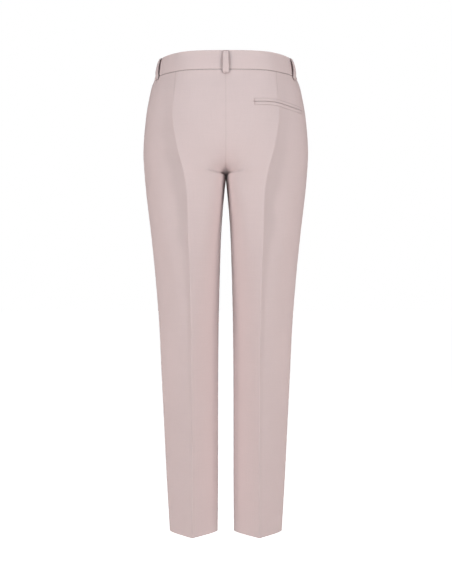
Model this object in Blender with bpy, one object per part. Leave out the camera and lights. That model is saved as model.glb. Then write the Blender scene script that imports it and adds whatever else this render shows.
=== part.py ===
"""Cigarette trousers in their worn, hollow form.

Two tapered legs with pressed creases, a waistband with five belt loops, a dart in each
back, one double-welt back pocket on the wearer's right and a zipped, buttoned fly.
The front faces -Y, the back +Y, and +Z is up. The wearer's left is +X. The origin is
the middle of the waistband at half its height, where the wearer holds the trousers up.

Each half of the garment is one surface, drawn by horizontal sections. A section has two
quarters, front and back, and each quarter runs from the garment's middle (or, below the
crotch, from the inseam) past the crease to the side seam.
"""

import math
from collections import namedtuple

import bpy
import numpy as np

# Sizes are in millimetres and angles in degrees. MM turns a size into metres.
MM = 0.001

# Cloth and seams
CLOTH = 1.5
SEAM_GAP = 0.3
LAYER = CLOTH + SEAM_GAP

# Heights, from the middle of the waistband
BAND_TOP = 18.0
BAND_SEAM = -18.0
CROTCH = -213.0
HEM = -918.0
HEM_TURN = 35.0
HEM_TURN_STEP = 1.0
HEM_EXTRA_CLOTH = 1.0

# Crotch curve: how far each side rises before its middle is out at full depth, and how
# soon a section leaves the middle sideways instead of straight out
BACK_RISE = 125.0
FRONT_RISE = 90.0
CROTCH_CURVE_POWER = 3.6
CROTCH_LEAVE_POWER = 1.3

# Rounding of the section's curves, as parts of each curve's chord
ROUND = 0.39
FLAT_MIDDLE = 0.08
SOFT_CORNER = 0.09
FULL_AT_CREASE = 0.5
FULL_PRESS = 48.0
PRESSED_SIDE = 0.55
PRESSED_CREASE = 0.20
SIDE_SEAM_Y = 0.0

# Steps over which the surface's directions are measured, and where its middle counts as flat
ACROSS_STEP = 0.02
HEIGHT_STEP = 2.0
MIDDLE_STRIP = 2.0

# Fly: the right front laps over the left one
FLY_FOOT = -128.0
FLY_NARROW_FOOT = -138.0
FLY_SOFT_FOOT = -154.0
FLY_OVERLAP = 8.0
FLY_UNDERLAP = 4.0
FLY_DIP_FULL = 9.0
FLY_DIP_NONE = 15.0

# Waistband
BAND_PROUD = 0.8
BAND_CLOTH = 2.4
BAND_UNDERLAP = 30.0
BAND_DIP_FULL = 9.5
BAND_DIP_NONE = 18.0

# Belt loops: their middles, measured round the waistband from its middle
LOOP_WIDTH = 13.0
SIDE_LOOP_ROUND = 156.0
FRONT_LOOP_ROUND = 86.0

# Double-welt pocket, measured round the back from its middle
POCKET_START = 54.0
POCKET_END = 172.0
POCKET_TOP = -75.0
POCKET_LIP = 6.3
POCKET_CLOTH = 1.1
POCKET_CELLS = 14

# Button and the eyelet of its buttonhole
BUTTON_X = -4.0
BUTTON_RADIUS = 7.5
BUTTON_THICKNESS = 2.8
BUTTON_SHANK_RADIUS = 1.6
BUTTON_DISH = 0.7
BUTTON_BACK_BEVEL = 1.2
BUTTON_EDGE_BEVEL = 0.8
BUTTON_RIM = 2.0
BUTTON_SIDES = 24
BUTTON_HOLE_RADIUS = 0.9
BUTTON_HOLE_DEPTH = 1.0
BUTTON_HOLE_SPREAD = 1.7
EYELET_RADIUS = 2.1
BUTTONHOLE_LENGTH = 14.0
BUTTONHOLE_SLIT = 1.2

# Zip, as depths below the cloth's outer face
ZIP_MIDDLE_X = -10.0
ZIP_TOP = -20.0
ZIP_FOOT = -126.0
ZIP_TAPE = 0.8
SLIDER_Z = -27.0
SLIDER_LENGTH = 9.0
SLIDER_WIDTH = 7.0
SLIDER_NECK = 1.2
SLIDER_PLATE = 0.9
SLIDER_MOUTH = 1.6
SLIDER_FRONT_DEPTH = 3.0
TAB_DEPTH = 1.9
TAB_THICKNESS = 0.8
TAB_WIDTH = 5.0
TAB_LENGTH = 24.0
STUD_RADIUS = 0.8
STUD_CLEARANCE = 0.3
STUD_SUNK = 0.4
TAB_ABOVE_STUD = 3.2

# Outline from behind: half the width at each height, and the inner edge of each leg
Outline = namedtuple("Outline", "height half_width inner_x")
OUTLINE = [
    Outline(18, 131.4, 0.15),
    Outline(-18, 141.6, 0.15),
    Outline(-30, 146.6, 0.15),
    Outline(-57, 152.8, 0.15),
    Outline(-93, 158.8, 0.15),
    Outline(-165, 164.1, 0.15),
    Outline(-213, 161.4, 0.15),
    Outline(-237, 159.3, 2.4),
    Outline(-273, 155.3, 5.7),
    Outline(-321, 149.5, 9.1),
    Outline(-417, 139.8, 12.4),
    Outline(-513, 132.5, 14.5),
    Outline(-609, 128.0, 15.4),
    Outline(-705, 123.2, 15.6),
    Outline(-801, 118.6, 15.6),
    Outline(-918, 111.8, 16.3),
]

# Depths of each side: at its middle, and at the crease (from z -100 up, the back's dart).
# turn is the section's slope at the crease, fold how far the crease is pressed, and full
# how much fuller than round the thigh's inner side is.
Depth = namedtuple("Depth", "height middle crease_x crease_y turn fold full")
BACK = [
    Depth(18, 101.4, 95.0, 78.2, 43, 0, 0),
    Depth(-18, 100.0, 96.0, 80.0, 40, 0, 0),
    Depth(-60, 110.0, 99.0, 91.0, 30, 0, 0),
    Depth(-100, 117.0, 101.7, 97.0, 27, 0, 0),
    Depth(-158, 119.0, 94.0, 107.0, 19, 4, 0.10),
    Depth(-213, 112.0, 80.0, 105.6, 8, 9, 0.38),
    Depth(-254, 108.0, 73.8, 101.9, 3, 14, 0.36),
    Depth(-332, 100.0, 71.5, 94.6, 0, 22, 0.24),
    Depth(-417, 100.0, 68.5, 86.5, 0, 30, 0.10),
    Depth(-528, 100.0, 66.5, 78.0, 0, 36, 0),
    Depth(-644, 100.0, 65.8, 71.5, 0, 41, 0),
    Depth(-780, 100.0, 65.2, 67.0, 0, 45, 0),
    Depth(-918, 100.0, 65.0, 64.5, 0, 48, 0),
]
FRONT = [
    Depth(18, 98.0, 84.0, 82.0, 30, 0, 0),
    Depth(-18, 99.0, 84.0, 83.0, 28, 0, 0),
    Depth(-60, 106.0, 84.0, 93.0, 21, 0, 0),
    Depth(-100, 110.0, 84.0, 98.0, 19, 2, 0),
    Depth(-165, 107.0, 82.0, 101.0, 12, 5, 0.08),
    Depth(-213, 104.0, 80.0, 101.0, 5, 9, 0.30),
    Depth(-254, 100.0, 77.5, 98.0, 1, 13, 0.28),
    Depth(-332, 100.0, 75.0, 92.0, 0, 21, 0.16),
    Depth(-417, 100.0, 73.0, 86.5, 0, 29, 0.06),
    Depth(-528, 100.0, 70.8, 80.0, 0, 36, 0),
    Depth(-644, 100.0, 68.6, 74.5, 0, 41, 0),
    Depth(-780, 100.0, 66.4, 68.5, 0, 45, 0),
    Depth(-918, 100.0, 64.6, 64.5, 0, 48, 0),
]
Side = namedtuple("Side", "table sign rise")
BACK_SIDE = Side(BACK, 1.0, BACK_RISE)
FRONT_SIDE = Side(FRONT, -1.0, FRONT_RISE)

# A belt loop from top to foot: its inner face is lifted off the cloth, and it is this thick
LoopRow = namedtuple("LoopRow", "height lift cloth")
LOOP_ROWS = [
    LoopRow(17.4, 1.1, 0.9),
    LoopRow(15.5, 1.6, 1.7),
    LoopRow(9.0, 3.4, 1.8),
    LoopRow(-2.0, 4.2, 1.8),
    LoopRow(-11.0, 3.8, 1.8),
    LoopRow(-17.0, 2.5, 1.8),
    LoopRow(-22.0, 1.1, 1.8),
    LoopRow(-26.5, 0.5, 1.5),
]

# How far the pocket falls below its inner end, at each length round the back
PocketFall = namedtuple("PocketFall", "length fall")
POCKET_FALL = [
    PocketFall(54, 0.0),
    PocketFall(72, -1.2),
    PocketFall(89, -1.5),
    PocketFall(108, -0.5),
    PocketFall(131, 2.3),
    PocketFall(150, 4.6),
    PocketFall(172, 6.6),
]

# The zip's tapes from the chain outwards: distance from the garment's middle and depth
TapeColumn = namedtuple("TapeColumn", "x depth")
LEFT_TAPE = [TapeColumn(-9.0, 4.3), TapeColumn(-6.0, 4.3), TapeColumn(-3.5, 3.6), TapeColumn(5.0, 3.6)]
RIGHT_TAPE = [TapeColumn(-11.0, 4.3), TapeColumn(-14.0, 4.3), TapeColumn(-18.0, 1.9), TapeColumn(-25.0, 1.9)]

# Columns across a quarter: 0 is its inner edge, 1 the crease and 2 the side seam
FRONT_COLUMNS = [0.0, 0.08, 0.13, 0.27, 0.41, 0.56, 0.7, 0.85, 1.0, 1.14, 1.28, 1.42, 1.56, 1.7, 1.85, 2.0]
BACK_COLUMNS = [0.0, 0.14, 0.28, 0.42, 0.56, 0.7, 0.85, 1.0, 1.14, 1.28, 1.42, 1.56, 1.7, 1.85, 2.0]
BAND_FRONT_COLUMNS = [0.09, 0.17, 0.34, 0.5, 0.67, 0.84, 1.0, 1.17, 1.34, 1.5, 1.67, 1.84, 2.0]
BAND_BACK_COLUMNS = [1.84, 1.67, 1.5, 1.34, 1.17, 1.0, 0.84, 0.67, 0.5, 0.34, 0.17, 0.0]

# Rows of the waistband and of the panels: those of the legs are evenly spaced, those of the
# crotch curve go by its angle, and those of the hips are at these heights
BAND_HEIGHTS = [BAND_SEAM, -6.0, 6.0, BAND_TOP]
LEG_ROWS = 22
LEG_ROWS_END = 24.0
LAST_ROW_BELOW_CROTCH = 10.0
CROTCH_ROW_ANGLES = [0, 16, 31, 45]
HIP_HEIGHTS = [-114.0, -100.0, -85.0, -70.0, -57.0, -44.0, -34.0, -27.0]

# Materials: colour, roughness and metallic value
Finish = namedtuple("Finish", "colour roughness metallic")
CLOTH_FINISH = Finish((0.62, 0.51, 0.50), 0.75, 0.0)
TRIM_FINISH = Finish((0.55, 0.44, 0.43), 0.45, 0.0)
METAL_FINISH = Finish((0.60, 0.58, 0.56), 0.30, 1.0)


# ---------------------------------------------------------------- the garment's surface

def steady_slopes(heights, values):
    """Slopes of a curve through the values that never overshoots between them."""
    steps = np.diff(heights)
    rises = np.diff(values) / steps
    slopes = np.zeros(len(values))
    for i in range(1, len(values) - 1):
        before, after = rises[i - 1], rises[i]
        if before * after > 0:
            weight = 2 * steps[i] + steps[i - 1]
            other = steps[i] + 2 * steps[i - 1]
            slopes[i] = (weight + other) / (weight / before + other / after)
    slopes[0] = rises[0]
    slopes[-1] = rises[-1]
    return slopes


def curve_reader(table, column):
    """A function that reads one named column of a table at any value of its first one."""
    rows = sorted(table, key=lambda row: row[0])
    heights = np.array([row[0] for row in rows], dtype=float)
    values = np.array([getattr(row, column) for row in rows], dtype=float)
    slopes = steady_slopes(heights, values)

    def read(height):
        height = min(max(height, heights[0]), heights[-1])
        i = min(int(np.searchsorted(heights, height, side="right")) - 1, len(heights) - 2)
        step = heights[i + 1] - heights[i]
        t = (height - heights[i]) / step
        start = values[i] * (1 + 2 * t) * (1 - t) ** 2 + slopes[i] * step * t * (1 - t) ** 2
        end = values[i + 1] * t * t * (3 - 2 * t) - slopes[i + 1] * step * t * t * (1 - t)
        return start + end

    return read


def readers(table):
    return {column: curve_reader(table, column) for column in table[0]._fields[1:]}


OUTLINE_AT = readers(OUTLINE)
DEPTH_AT = {side.sign: readers(side.table) for side in (BACK_SIDE, FRONT_SIDE)}


def crotch_reach(height, side):
    """How far out the middle is, from 0 at the crotch to 1 at the top of the rise."""
    part = min(max((height - CROTCH) / side.rise, 0.0), 1.0)
    return (1.0 - (1.0 - part) ** CROTCH_CURVE_POWER) ** (1.0 / CROTCH_CURVE_POWER)


def direction(angle, sign):
    """Unit vector towards the middle, turned outwards by the angle."""
    turned = math.radians(angle)
    return np.array([-math.cos(turned), sign * math.sin(turned)])


def quarter_curves(side, height):
    """Control points of a quarter's two curves: middle to crease, crease to side seam."""
    at = DEPTH_AT[side.sign]
    reach = crotch_reach(height, side)
    turn, fold = at["turn"](height), at["fold"](height)
    middle_depth = at["middle"](height)
    middle = np.array([OUTLINE_AT["inner_x"](height), side.sign * middle_depth * reach])
    crease = np.array([at["crease_x"](height), side.sign * at["crease_y"](height)])
    seam = np.array([OUTLINE_AT["half_width"](height), SIDE_SEAM_Y])

    sideways = crease[0] * reach ** CROTCH_LEAVE_POWER
    leave = np.array([sideways, side.sign * middle_depth * (1.0 - reach * reach)])
    leave = leave / np.linalg.norm(leave)
    press = fold / FULL_PRESS
    round_side = ROUND * (1.0 - PRESSED_SIDE * press)
    round_crease = ROUND * (1.0 - PRESSED_CREASE * press)
    inner = np.linalg.norm(crease - middle)
    full = at["full"](height) * (1.0 - reach * reach)
    from_middle = (round_side + full + FLAT_MIDDLE * reach) * inner
    from_crease = (round_crease + full * FULL_AT_CREASE - SOFT_CORNER * reach) * inner
    to_crease = [middle, middle + leave * from_middle,
                 crease + direction(turn - fold, side.sign) * from_crease, crease]

    outer = np.linalg.norm(seam - crease)
    straight = np.array([0.0, side.sign])
    to_seam = [crease, crease - direction(turn + fold, side.sign) * round_crease * outer,
               seam + straight * (round_side - SOFT_CORNER * turn / 90.0) * outer, seam]
    return to_crease, to_seam


def bezier(points, t):
    a, b, c, d = points
    s = 1.0 - t
    return a * s ** 3 + b * 3 * s * s * t + c * 3 * s * t * t + d * t ** 3


def surface(side, height, across):
    """The cloth's outer face on the wearer's left, as a point in millimetres."""
    to_crease, to_seam = quarter_curves(side, height)
    flat = bezier(to_crease, across) if across <= 1.0 else bezier(to_seam, across - 1.0)
    return np.array([flat[0], flat[1], height])


def tangent(side, height, across):
    low, high = max(across - ACROSS_STEP, 0.0), min(across + ACROSS_STEP, 2.0)
    along = surface(side, height, high) - surface(side, height, low)
    return along / np.linalg.norm(along)


def normal(side, height, across):
    """The direction out of the cloth's outer face."""
    low, high = max(height - HEIGHT_STEP, HEM), min(height + HEIGHT_STEP, BAND_TOP)
    rise = surface(side, high, across) - surface(side, low, across)
    out = -side.sign * np.cross(tangent(side, height, across), rise)
    return out / np.linalg.norm(out)


def across_at_x(side, height, x):
    """Where a quarter's inner curve is this far from the garment's middle."""
    low, high = 0.0, 1.0
    for _ in range(30):
        middle = (low + high) / 2
        if surface(side, height, middle)[0] < x:
            low = middle
        else:
            high = middle
    return (low + high) / 2


def across_at_length(side, height, length):
    """Where a quarter has run this length round the garment from its middle."""
    places = np.linspace(0.0, 2.0, 241)
    points = [surface(side, height, place) for place in places]
    steps = [np.linalg.norm(b - a) for a, b in zip(points, points[1:])]
    lengths = np.concatenate([[0.0], np.cumsum(steps)])
    return float(np.interp(length, lengths, places))


def near_middle(side, height, x, depth=0.0):
    """A point close to the garment's middle, on either half, sunk below the outer face."""
    across = across_at_x(side, height, abs(x))
    point = surface(side, height, across)
    out = normal(side, height, across)
    if abs(x) < MIDDLE_STRIP:
        out = np.array([0.0, out[1], out[2]]) / np.linalg.norm(out[1:])
    point = point - out * depth
    if x < 0:
        point[0] = -point[0]
    return point


# ---------------------------------------------------------------- meshes

def make_material(name, finish):
    material = bpy.data.materials.new(name)
    material.use_nodes = True
    shader = material.node_tree.nodes["Principled BSDF"]
    shader.inputs["Base Color"].default_value = (*finish.colour, 1.0)
    shader.inputs["Roughness"].default_value = finish.roughness
    shader.inputs["Metallic"].default_value = finish.metallic
    return material


def closed_volume(points, faces):
    total = 0.0
    for face in faces:
        a, b, c = (points[i] for i in face)
        total += np.dot(a, np.cross(b, c))
    return total / 6.0


def add_object(name, points, faces, finish):
    """An object from points in millimetres, its triangles turned to face out."""
    if closed_volume(points, faces) < 0:
        faces = [face[::-1] for face in faces]
    mesh = bpy.data.meshes.new(name)
    mesh.from_pydata([tuple(point * MM) for point in points], [], faces)
    mesh.validate()
    mesh.shade_smooth()
    mesh.set_sharp_from_angle(angle=math.radians(40))
    mesh.materials.append(make_material(name, finish))
    item = bpy.data.objects.new(name, mesh)
    bpy.context.scene.collection.objects.link(item)
    return item


def grid_faces(rows, columns, first):
    """Two triangles for each cell of a grid whose points start at index first."""
    faces = []
    for j in range(rows - 1):
        for i in range(columns - 1):
            a = first + j * columns + i
            b, c, d = a + 1, a + columns + 1, a + columns
            faces += [(a, b, c), (a, c, d)]
    return faces


def rim_faces(rows, columns):
    """Triangles that join the borders of two grids of one size, the second one behind."""
    border = [i for i in range(columns)]
    border += [j * columns + columns - 1 for j in range(1, rows)]
    border += [(rows - 1) * columns + i for i in range(columns - 2, -1, -1)]
    border += [j * columns for j in range(rows - 2, 0, -1)]
    behind = rows * columns
    faces = []
    for a, b in zip(border, border[1:] + border[:1]):
        faces += [(a, a + behind, b + behind), (a, b + behind, b)]
    return faces


def add_wall(name, outer, inner, finish, mirrored=False):
    """A closed wall between two grids of points; mirrored puts it on the other half."""
    rows, columns = len(outer), len(outer[0])
    points = [point.copy() for row in outer for point in row]
    points += [point.copy() for row in inner for point in row]
    if mirrored:
        for point in points:
            point[0] = -point[0]
    faces = grid_faces(rows, columns, 0)
    faces += [face[::-1] for face in grid_faces(rows, columns, rows * columns)]
    faces += rim_faces(rows, columns)
    return add_object(name, points, faces, finish)


def add_turned(name, profile, sides, place, axis, finish):
    """A solid turned about an axis: profile rows are (radius, height along the axis)."""
    axis = axis / np.linalg.norm(axis)
    first = np.cross(axis, np.array([0.0, 0.0, 1.0]))
    first = first / np.linalg.norm(first)
    second = np.cross(axis, first)
    points = [place + axis * profile[0][1]]
    for radius, height in profile[1:-1]:
        for k in range(sides):
            angle = 2 * math.pi * k / sides
            ring = first * math.cos(angle) + second * math.sin(angle)
            points.append(place + axis * height + ring * radius)
    points.append(place + axis * profile[-1][1])
    rings = len(profile) - 2
    last = len(points) - 1
    faces = []
    for k in range(sides):
        after = (k + 1) % sides
        faces.append((0, 1 + k, 1 + after))
        for ring in range(rings - 1):
            a = 1 + ring * sides + k
            b = 1 + ring * sides + after
            faces += [(a, a + sides, b + sides), (a, b + sides, b)]
        top = 1 + (rings - 1) * sides
        faces.append((top + k, last, top + after))
    return add_object(name, points, faces, finish)


def add_block(name, place, axes, half_sizes, finish):
    """A box about a place, along three axes."""
    signs = [(x, y, z) for x in (-1, 1) for y in (-1, 1) for z in (-1, 1)]
    points = [place + sum(axis * sign * half for axis, sign, half in zip(axes, corner, half_sizes))
              for corner in signs]
    quads = [(0, 1, 3, 2), (4, 6, 7, 5), (0, 4, 5, 1), (2, 3, 7, 6), (0, 2, 6, 4), (1, 5, 7, 3)]
    faces = [face for a, b, c, d in quads for face in ((a, b, c), (a, c, d))]
    return add_object(name, points, faces, finish)


def combine(item, tool, operation):
    """Cut or join one object with another, and drop the other."""
    modifier = item.modifiers.new(operation, "BOOLEAN")
    modifier.operation = operation
    modifier.object = tool
    bpy.context.view_layer.update()
    evaluated = item.evaluated_get(bpy.context.evaluated_depsgraph_get())
    result = bpy.data.meshes.new_from_object(evaluated)
    item.modifiers.clear()
    item.data = result
    bpy.data.objects.remove(tool, do_unlink=True)
    return item


# ---------------------------------------------------------------- the four cloth panels

def panel_heights():
    """Heights of the sections, closest where the crotch curve turns."""
    turned_hem = HEM + HEM_TURN
    legs = list(np.linspace(turned_hem + HEM_TURN_STEP, CROTCH - LEG_ROWS_END, LEG_ROWS))
    heights = [HEM, turned_hem] + legs + [CROTCH - LAST_ROW_BELOW_CROTCH]
    for angle in CROTCH_ROW_ANGLES:
        heights.append(CROTCH + BACK_RISE * (1.0 - math.cos(math.radians(angle))))
    heights += [FLY_SOFT_FOOT, FLY_NARROW_FOOT, FLY_FOOT] + HIP_HEIGHTS + [BAND_SEAM - SEAM_GAP]
    return sorted(heights)


def cloth_thickness(height):
    """The hem is turned up, so the cloth is double there."""
    if height <= HEM + HEM_TURN + HEM_TURN_STEP / 2:
        return CLOTH + HEM_EXTRA_CLOTH
    return CLOTH


def fly_dip(x, height, full, none):
    """How deep the lower layer of the fly lies at this distance from the middle."""
    level = min(max((height - FLY_SOFT_FOOT) / (FLY_NARROW_FOOT - FLY_SOFT_FOOT), 0.0), 1.0)
    part = min(max((none - x) / (none - full), 0.0), 1.0)
    return part * part * (3.0 - 2.0 * part) * level


def panel_edge(side, height, across):
    """The outer point, drawn back from the seam that it borders."""
    point = surface(side, height, across)
    along = tangent(side, height, across)
    if across == 0.0:
        point = point + along * SEAM_GAP / 2
    if across == 2.0:
        point = point - along * SEAM_GAP / 2
    return point


def panel_grids(side, columns, fly=None):
    """Outer and inner points of a panel on the wearer's left, from the hem up."""
    outer, inner = [], []
    for height in panel_heights():
        outer_row, inner_row = [], []
        thickness = cloth_thickness(height)
        for across in columns:
            point = panel_edge(side, height, across)
            out = normal(side, height, across)
            if across == 0.0 and crotch_reach(height, side) == 1.0:
                out = np.array([0.0, out[1], out[2]]) / np.linalg.norm(out[1:])
            if fly and across == 0.0 and height >= FLY_FOOT - 0.5:
                point = near_middle(side, height, -fly.reach)
            if fly and fly.dips:
                point = point - out * LAYER * fly_dip(point[0], height, FLY_DIP_FULL, FLY_DIP_NONE)
            behind = point - out * thickness
            if height in (HEM, BAND_SEAM - SEAM_GAP):
                behind[2] = height
            if height < FLY_FOOT - 0.5 or not fly:
                point[0] = max(point[0], SEAM_GAP / 2)
                behind[0] = max(behind[0], SEAM_GAP / 2)
            outer_row.append(point)
            inner_row.append(behind)
        outer.append(outer_row)
        inner.append(inner_row)
    return outer, inner


FlyEdge = namedtuple("FlyEdge", "reach dips")


def add_panels():
    back = panel_grids(BACK_SIDE, BACK_COLUMNS)
    under = panel_grids(FRONT_SIDE, FRONT_COLUMNS, FlyEdge(FLY_UNDERLAP, True))
    over = panel_grids(FRONT_SIDE, FRONT_COLUMNS, FlyEdge(FLY_OVERLAP, False))
    add_wall("back_left", *back, CLOTH_FINISH)
    add_wall("back_right", *back, CLOTH_FINISH, mirrored=True)
    add_wall("front_left", *under, CLOTH_FINISH)
    add_wall("front_right", *over, CLOTH_FINISH, mirrored=True)


# ---------------------------------------------------------------- waistband

def band_row(height, laps, dips):
    """Points round one half of the waistband, from its front end to the back's middle."""
    row = []
    for x in laps:
        dip = (BAND_CLOTH + SEAM_GAP) if dips else 0.0
        row.append((near_middle(FRONT_SIDE, height, x), near_middle(FRONT_SIDE, height, x, 1.0), dip))
    for side, columns in ((FRONT_SIDE, BAND_FRONT_COLUMNS), (BACK_SIDE, BAND_BACK_COLUMNS)):
        for across in columns:
            point = surface(side, height, across)
            deeper = point - normal(side, height, across)
            part = min(max((BAND_DIP_NONE - point[0]) / (BAND_DIP_NONE - BAND_DIP_FULL), 0.0), 1.0)
            dip = (BAND_CLOTH + SEAM_GAP) * part if dips and side is FRONT_SIDE else 0.0
            if across == 0.0:
                point[0] = deeper[0] = SEAM_GAP / 2
            row.append((point, deeper, dip))
    return row


def band_grids(laps, dips):
    outer, inner = [], []
    for height in BAND_HEIGHTS:
        outer_row, inner_row = [], []
        for point, deeper, dip in band_row(height, laps, dips):
            out = point - deeper
            out[2] = 0.0
            out = out / np.linalg.norm(out)
            face = point + out * (BAND_PROUD - dip)
            outer_row.append(face)
            inner_row.append(face - out * BAND_CLOTH)
        outer.append(outer_row)
        inner.append(inner_row)
    return outer, inner


def add_waistband():
    under = band_grids([-BAND_UNDERLAP, -18.0, -FLY_OVERLAP, 0.5], True)
    over = band_grids([-FLY_OVERLAP, 0.5], False)
    add_wall("waistband_left", *under, CLOTH_FINISH)
    right = add_wall("waistband_right", *over, CLOTH_FINISH, mirrored=True)
    cut_buttonhole(right)


def button_place():
    """The middle of the button's back, and the direction that it faces."""
    point = near_middle(FRONT_SIDE, 0.0, BUTTON_X)
    return point, np.array([0.0, -1.0, 0.0])


def cut_buttonhole(band):
    """An eyelet for the shank, and a slit that runs from it along the waistband."""
    place, facing = button_place()
    through = BAND_CLOTH * 2
    profile = [(0, -through), (EYELET_RADIUS, -through), (EYELET_RADIUS, through), (0, through)]
    eyelet = add_turned("eyelet_cutter", profile, 12, place, facing, TRIM_FINISH)
    combine(band, eyelet, "DIFFERENCE")
    middle = place - np.array([BUTTONHOLE_LENGTH / 2, 0.0, 0.0])
    axes = (np.array([1.0, 0.0, 0.0]), facing, np.array([0.0, 0.0, 1.0]))
    sizes = (BUTTONHOLE_LENGTH / 2, through, BUTTONHOLE_SLIT / 2)
    slit = add_block("slit_cutter", middle, axes, sizes, TRIM_FINISH)
    combine(band, slit, "DIFFERENCE")


# ---------------------------------------------------------------- pieces that lie on the cloth

def add_belt_loop(name, side, round_band, mirrored=False, straddles=False):
    """A strip over the waistband; one that straddles the middle lies on both halves."""
    spots = (-LOOP_WIDTH / 2, 0.0, LOOP_WIDTH / 2)
    outer, inner = [], []
    for row in LOOP_ROWS:
        outer_row, inner_row = [], []
        for spot in spots:
            across = across_at_length(side, row.height, abs(round_band + spot))
            point = surface(side, row.height, across)
            out = normal(side, row.height, across)
            if straddles:
                point[0] = spot
                out = np.array([0.0, out[1], out[2]]) / np.linalg.norm(out[1:])
            inner_row.append(point + out * row.lift)
            outer_row.append(point + out * (row.lift + row.cloth))
        outer.append(outer_row)
        inner.append(inner_row)
    add_wall(name, outer, inner, CLOTH_FINISH, mirrored)


def add_belt_loops():
    add_belt_loop("belt_loop_back", BACK_SIDE, 0.0, straddles=True)
    for mirrored, hand in ((False, "left"), (True, "right")):
        add_belt_loop("belt_loop_side_" + hand, BACK_SIDE, SIDE_LOOP_ROUND, mirrored)
        add_belt_loop("belt_loop_front_" + hand, FRONT_SIDE, FRONT_LOOP_ROUND, mirrored)


def add_pocket_lip(name, drop):
    """One lip of the back pocket, starting this far below the pocket's top edge."""
    lengths = np.linspace(POCKET_START, POCKET_END, POCKET_CELLS + 1)
    fall_at = curve_reader(POCKET_FALL, "fall")
    outer, inner = [], []
    for below in (drop + POCKET_LIP, drop):
        outer_row, inner_row = [], []
        for length in lengths:
            height = POCKET_TOP - below - fall_at(length)
            across = across_at_length(BACK_SIDE, height, length)
            point = surface(BACK_SIDE, height, across)
            out = normal(BACK_SIDE, height, across)
            inner_row.append(point + out * SEAM_GAP)
            outer_row.append(point + out * (SEAM_GAP + POCKET_CLOTH))
        outer.append(outer_row)
        inner.append(inner_row)
    add_wall(name, outer, inner, CLOTH_FINISH, mirrored=True)


def add_pocket():
    add_pocket_lip("pocket_lip_upper", 0.0)
    add_pocket_lip("pocket_lip_lower", POCKET_LIP + SEAM_GAP)


def add_button():
    """A four-hole button on a shank that goes through the buttonhole."""
    place, facing = button_place()
    back = BAND_PROUD + SEAM_GAP
    front = back + BUTTON_THICKNESS
    foot = BAND_PROUD - BAND_CLOTH
    face = front - BUTTON_DISH
    rim = BUTTON_RADIUS - BUTTON_RIM
    profile = [(0, foot), (BUTTON_SHANK_RADIUS, foot), (BUTTON_SHANK_RADIUS, back),
               (BUTTON_RADIUS - BUTTON_BACK_BEVEL, back), (BUTTON_RADIUS, back + BUTTON_BACK_BEVEL),
               (BUTTON_RADIUS, front - BUTTON_EDGE_BEVEL), (BUTTON_RADIUS - BUTTON_EDGE_BEVEL, front),
               (rim, front), (rim - BUTTON_EDGE_BEVEL, face), (0, face)]
    button = add_turned("button", profile, BUTTON_SIDES, place, facing, TRIM_FINISH)
    for k in range(4):
        angle = math.radians(45 + 90 * k)
        offset = np.array([math.cos(angle), 0.0, math.sin(angle)]) * BUTTON_HOLE_SPREAD * math.sqrt(2)
        hole = [(0, face - BUTTON_HOLE_DEPTH), (BUTTON_HOLE_RADIUS, face - BUTTON_HOLE_DEPTH),
                (BUTTON_HOLE_RADIUS, front + BUTTON_HOLE_DEPTH), (0, front + BUTTON_HOLE_DEPTH)]
        cutter = add_turned("hole_cutter", hole, 8, place + offset, facing, TRIM_FINISH)
        combine(button, cutter, "DIFFERENCE")


# ---------------------------------------------------------------- zip

def zip_heights():
    return [height for height in panel_heights() if ZIP_FOOT < height < ZIP_TOP] + [ZIP_TOP]


def add_zip_tape(name, tape):
    """A tape that follows the front's inner face and meets the chain at its inner edge."""
    heights = [ZIP_FOOT] + zip_heights()
    outer = [[near_middle(FRONT_SIDE, z, column.x, column.depth) for column in tape] for z in heights]
    inner = [[near_middle(FRONT_SIDE, z, column.x, column.depth + ZIP_TAPE) for column in tape]
             for z in heights]
    for grid in (outer, inner):
        for row, z in zip(grid, heights):
            for point in row:
                point[2] = z if z in (ZIP_FOOT, ZIP_TOP) else point[2]
    add_wall(name, outer, inner, TRIM_FINISH)


def slider_axes():
    """The slider's own directions: across, out of the front, and up along the chain."""
    low = near_middle(FRONT_SIDE, SLIDER_Z - SLIDER_LENGTH / 2, ZIP_MIDDLE_X)
    high = near_middle(FRONT_SIDE, SLIDER_Z + SLIDER_LENGTH / 2, ZIP_MIDDLE_X)
    up = (high - low) / np.linalg.norm(high - low)
    across = np.array([1.0, 0.0, 0.0])
    up[0] = 0.0
    up = up / np.linalg.norm(up)
    return across, np.cross(across, up) * -1.0, up


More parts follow.
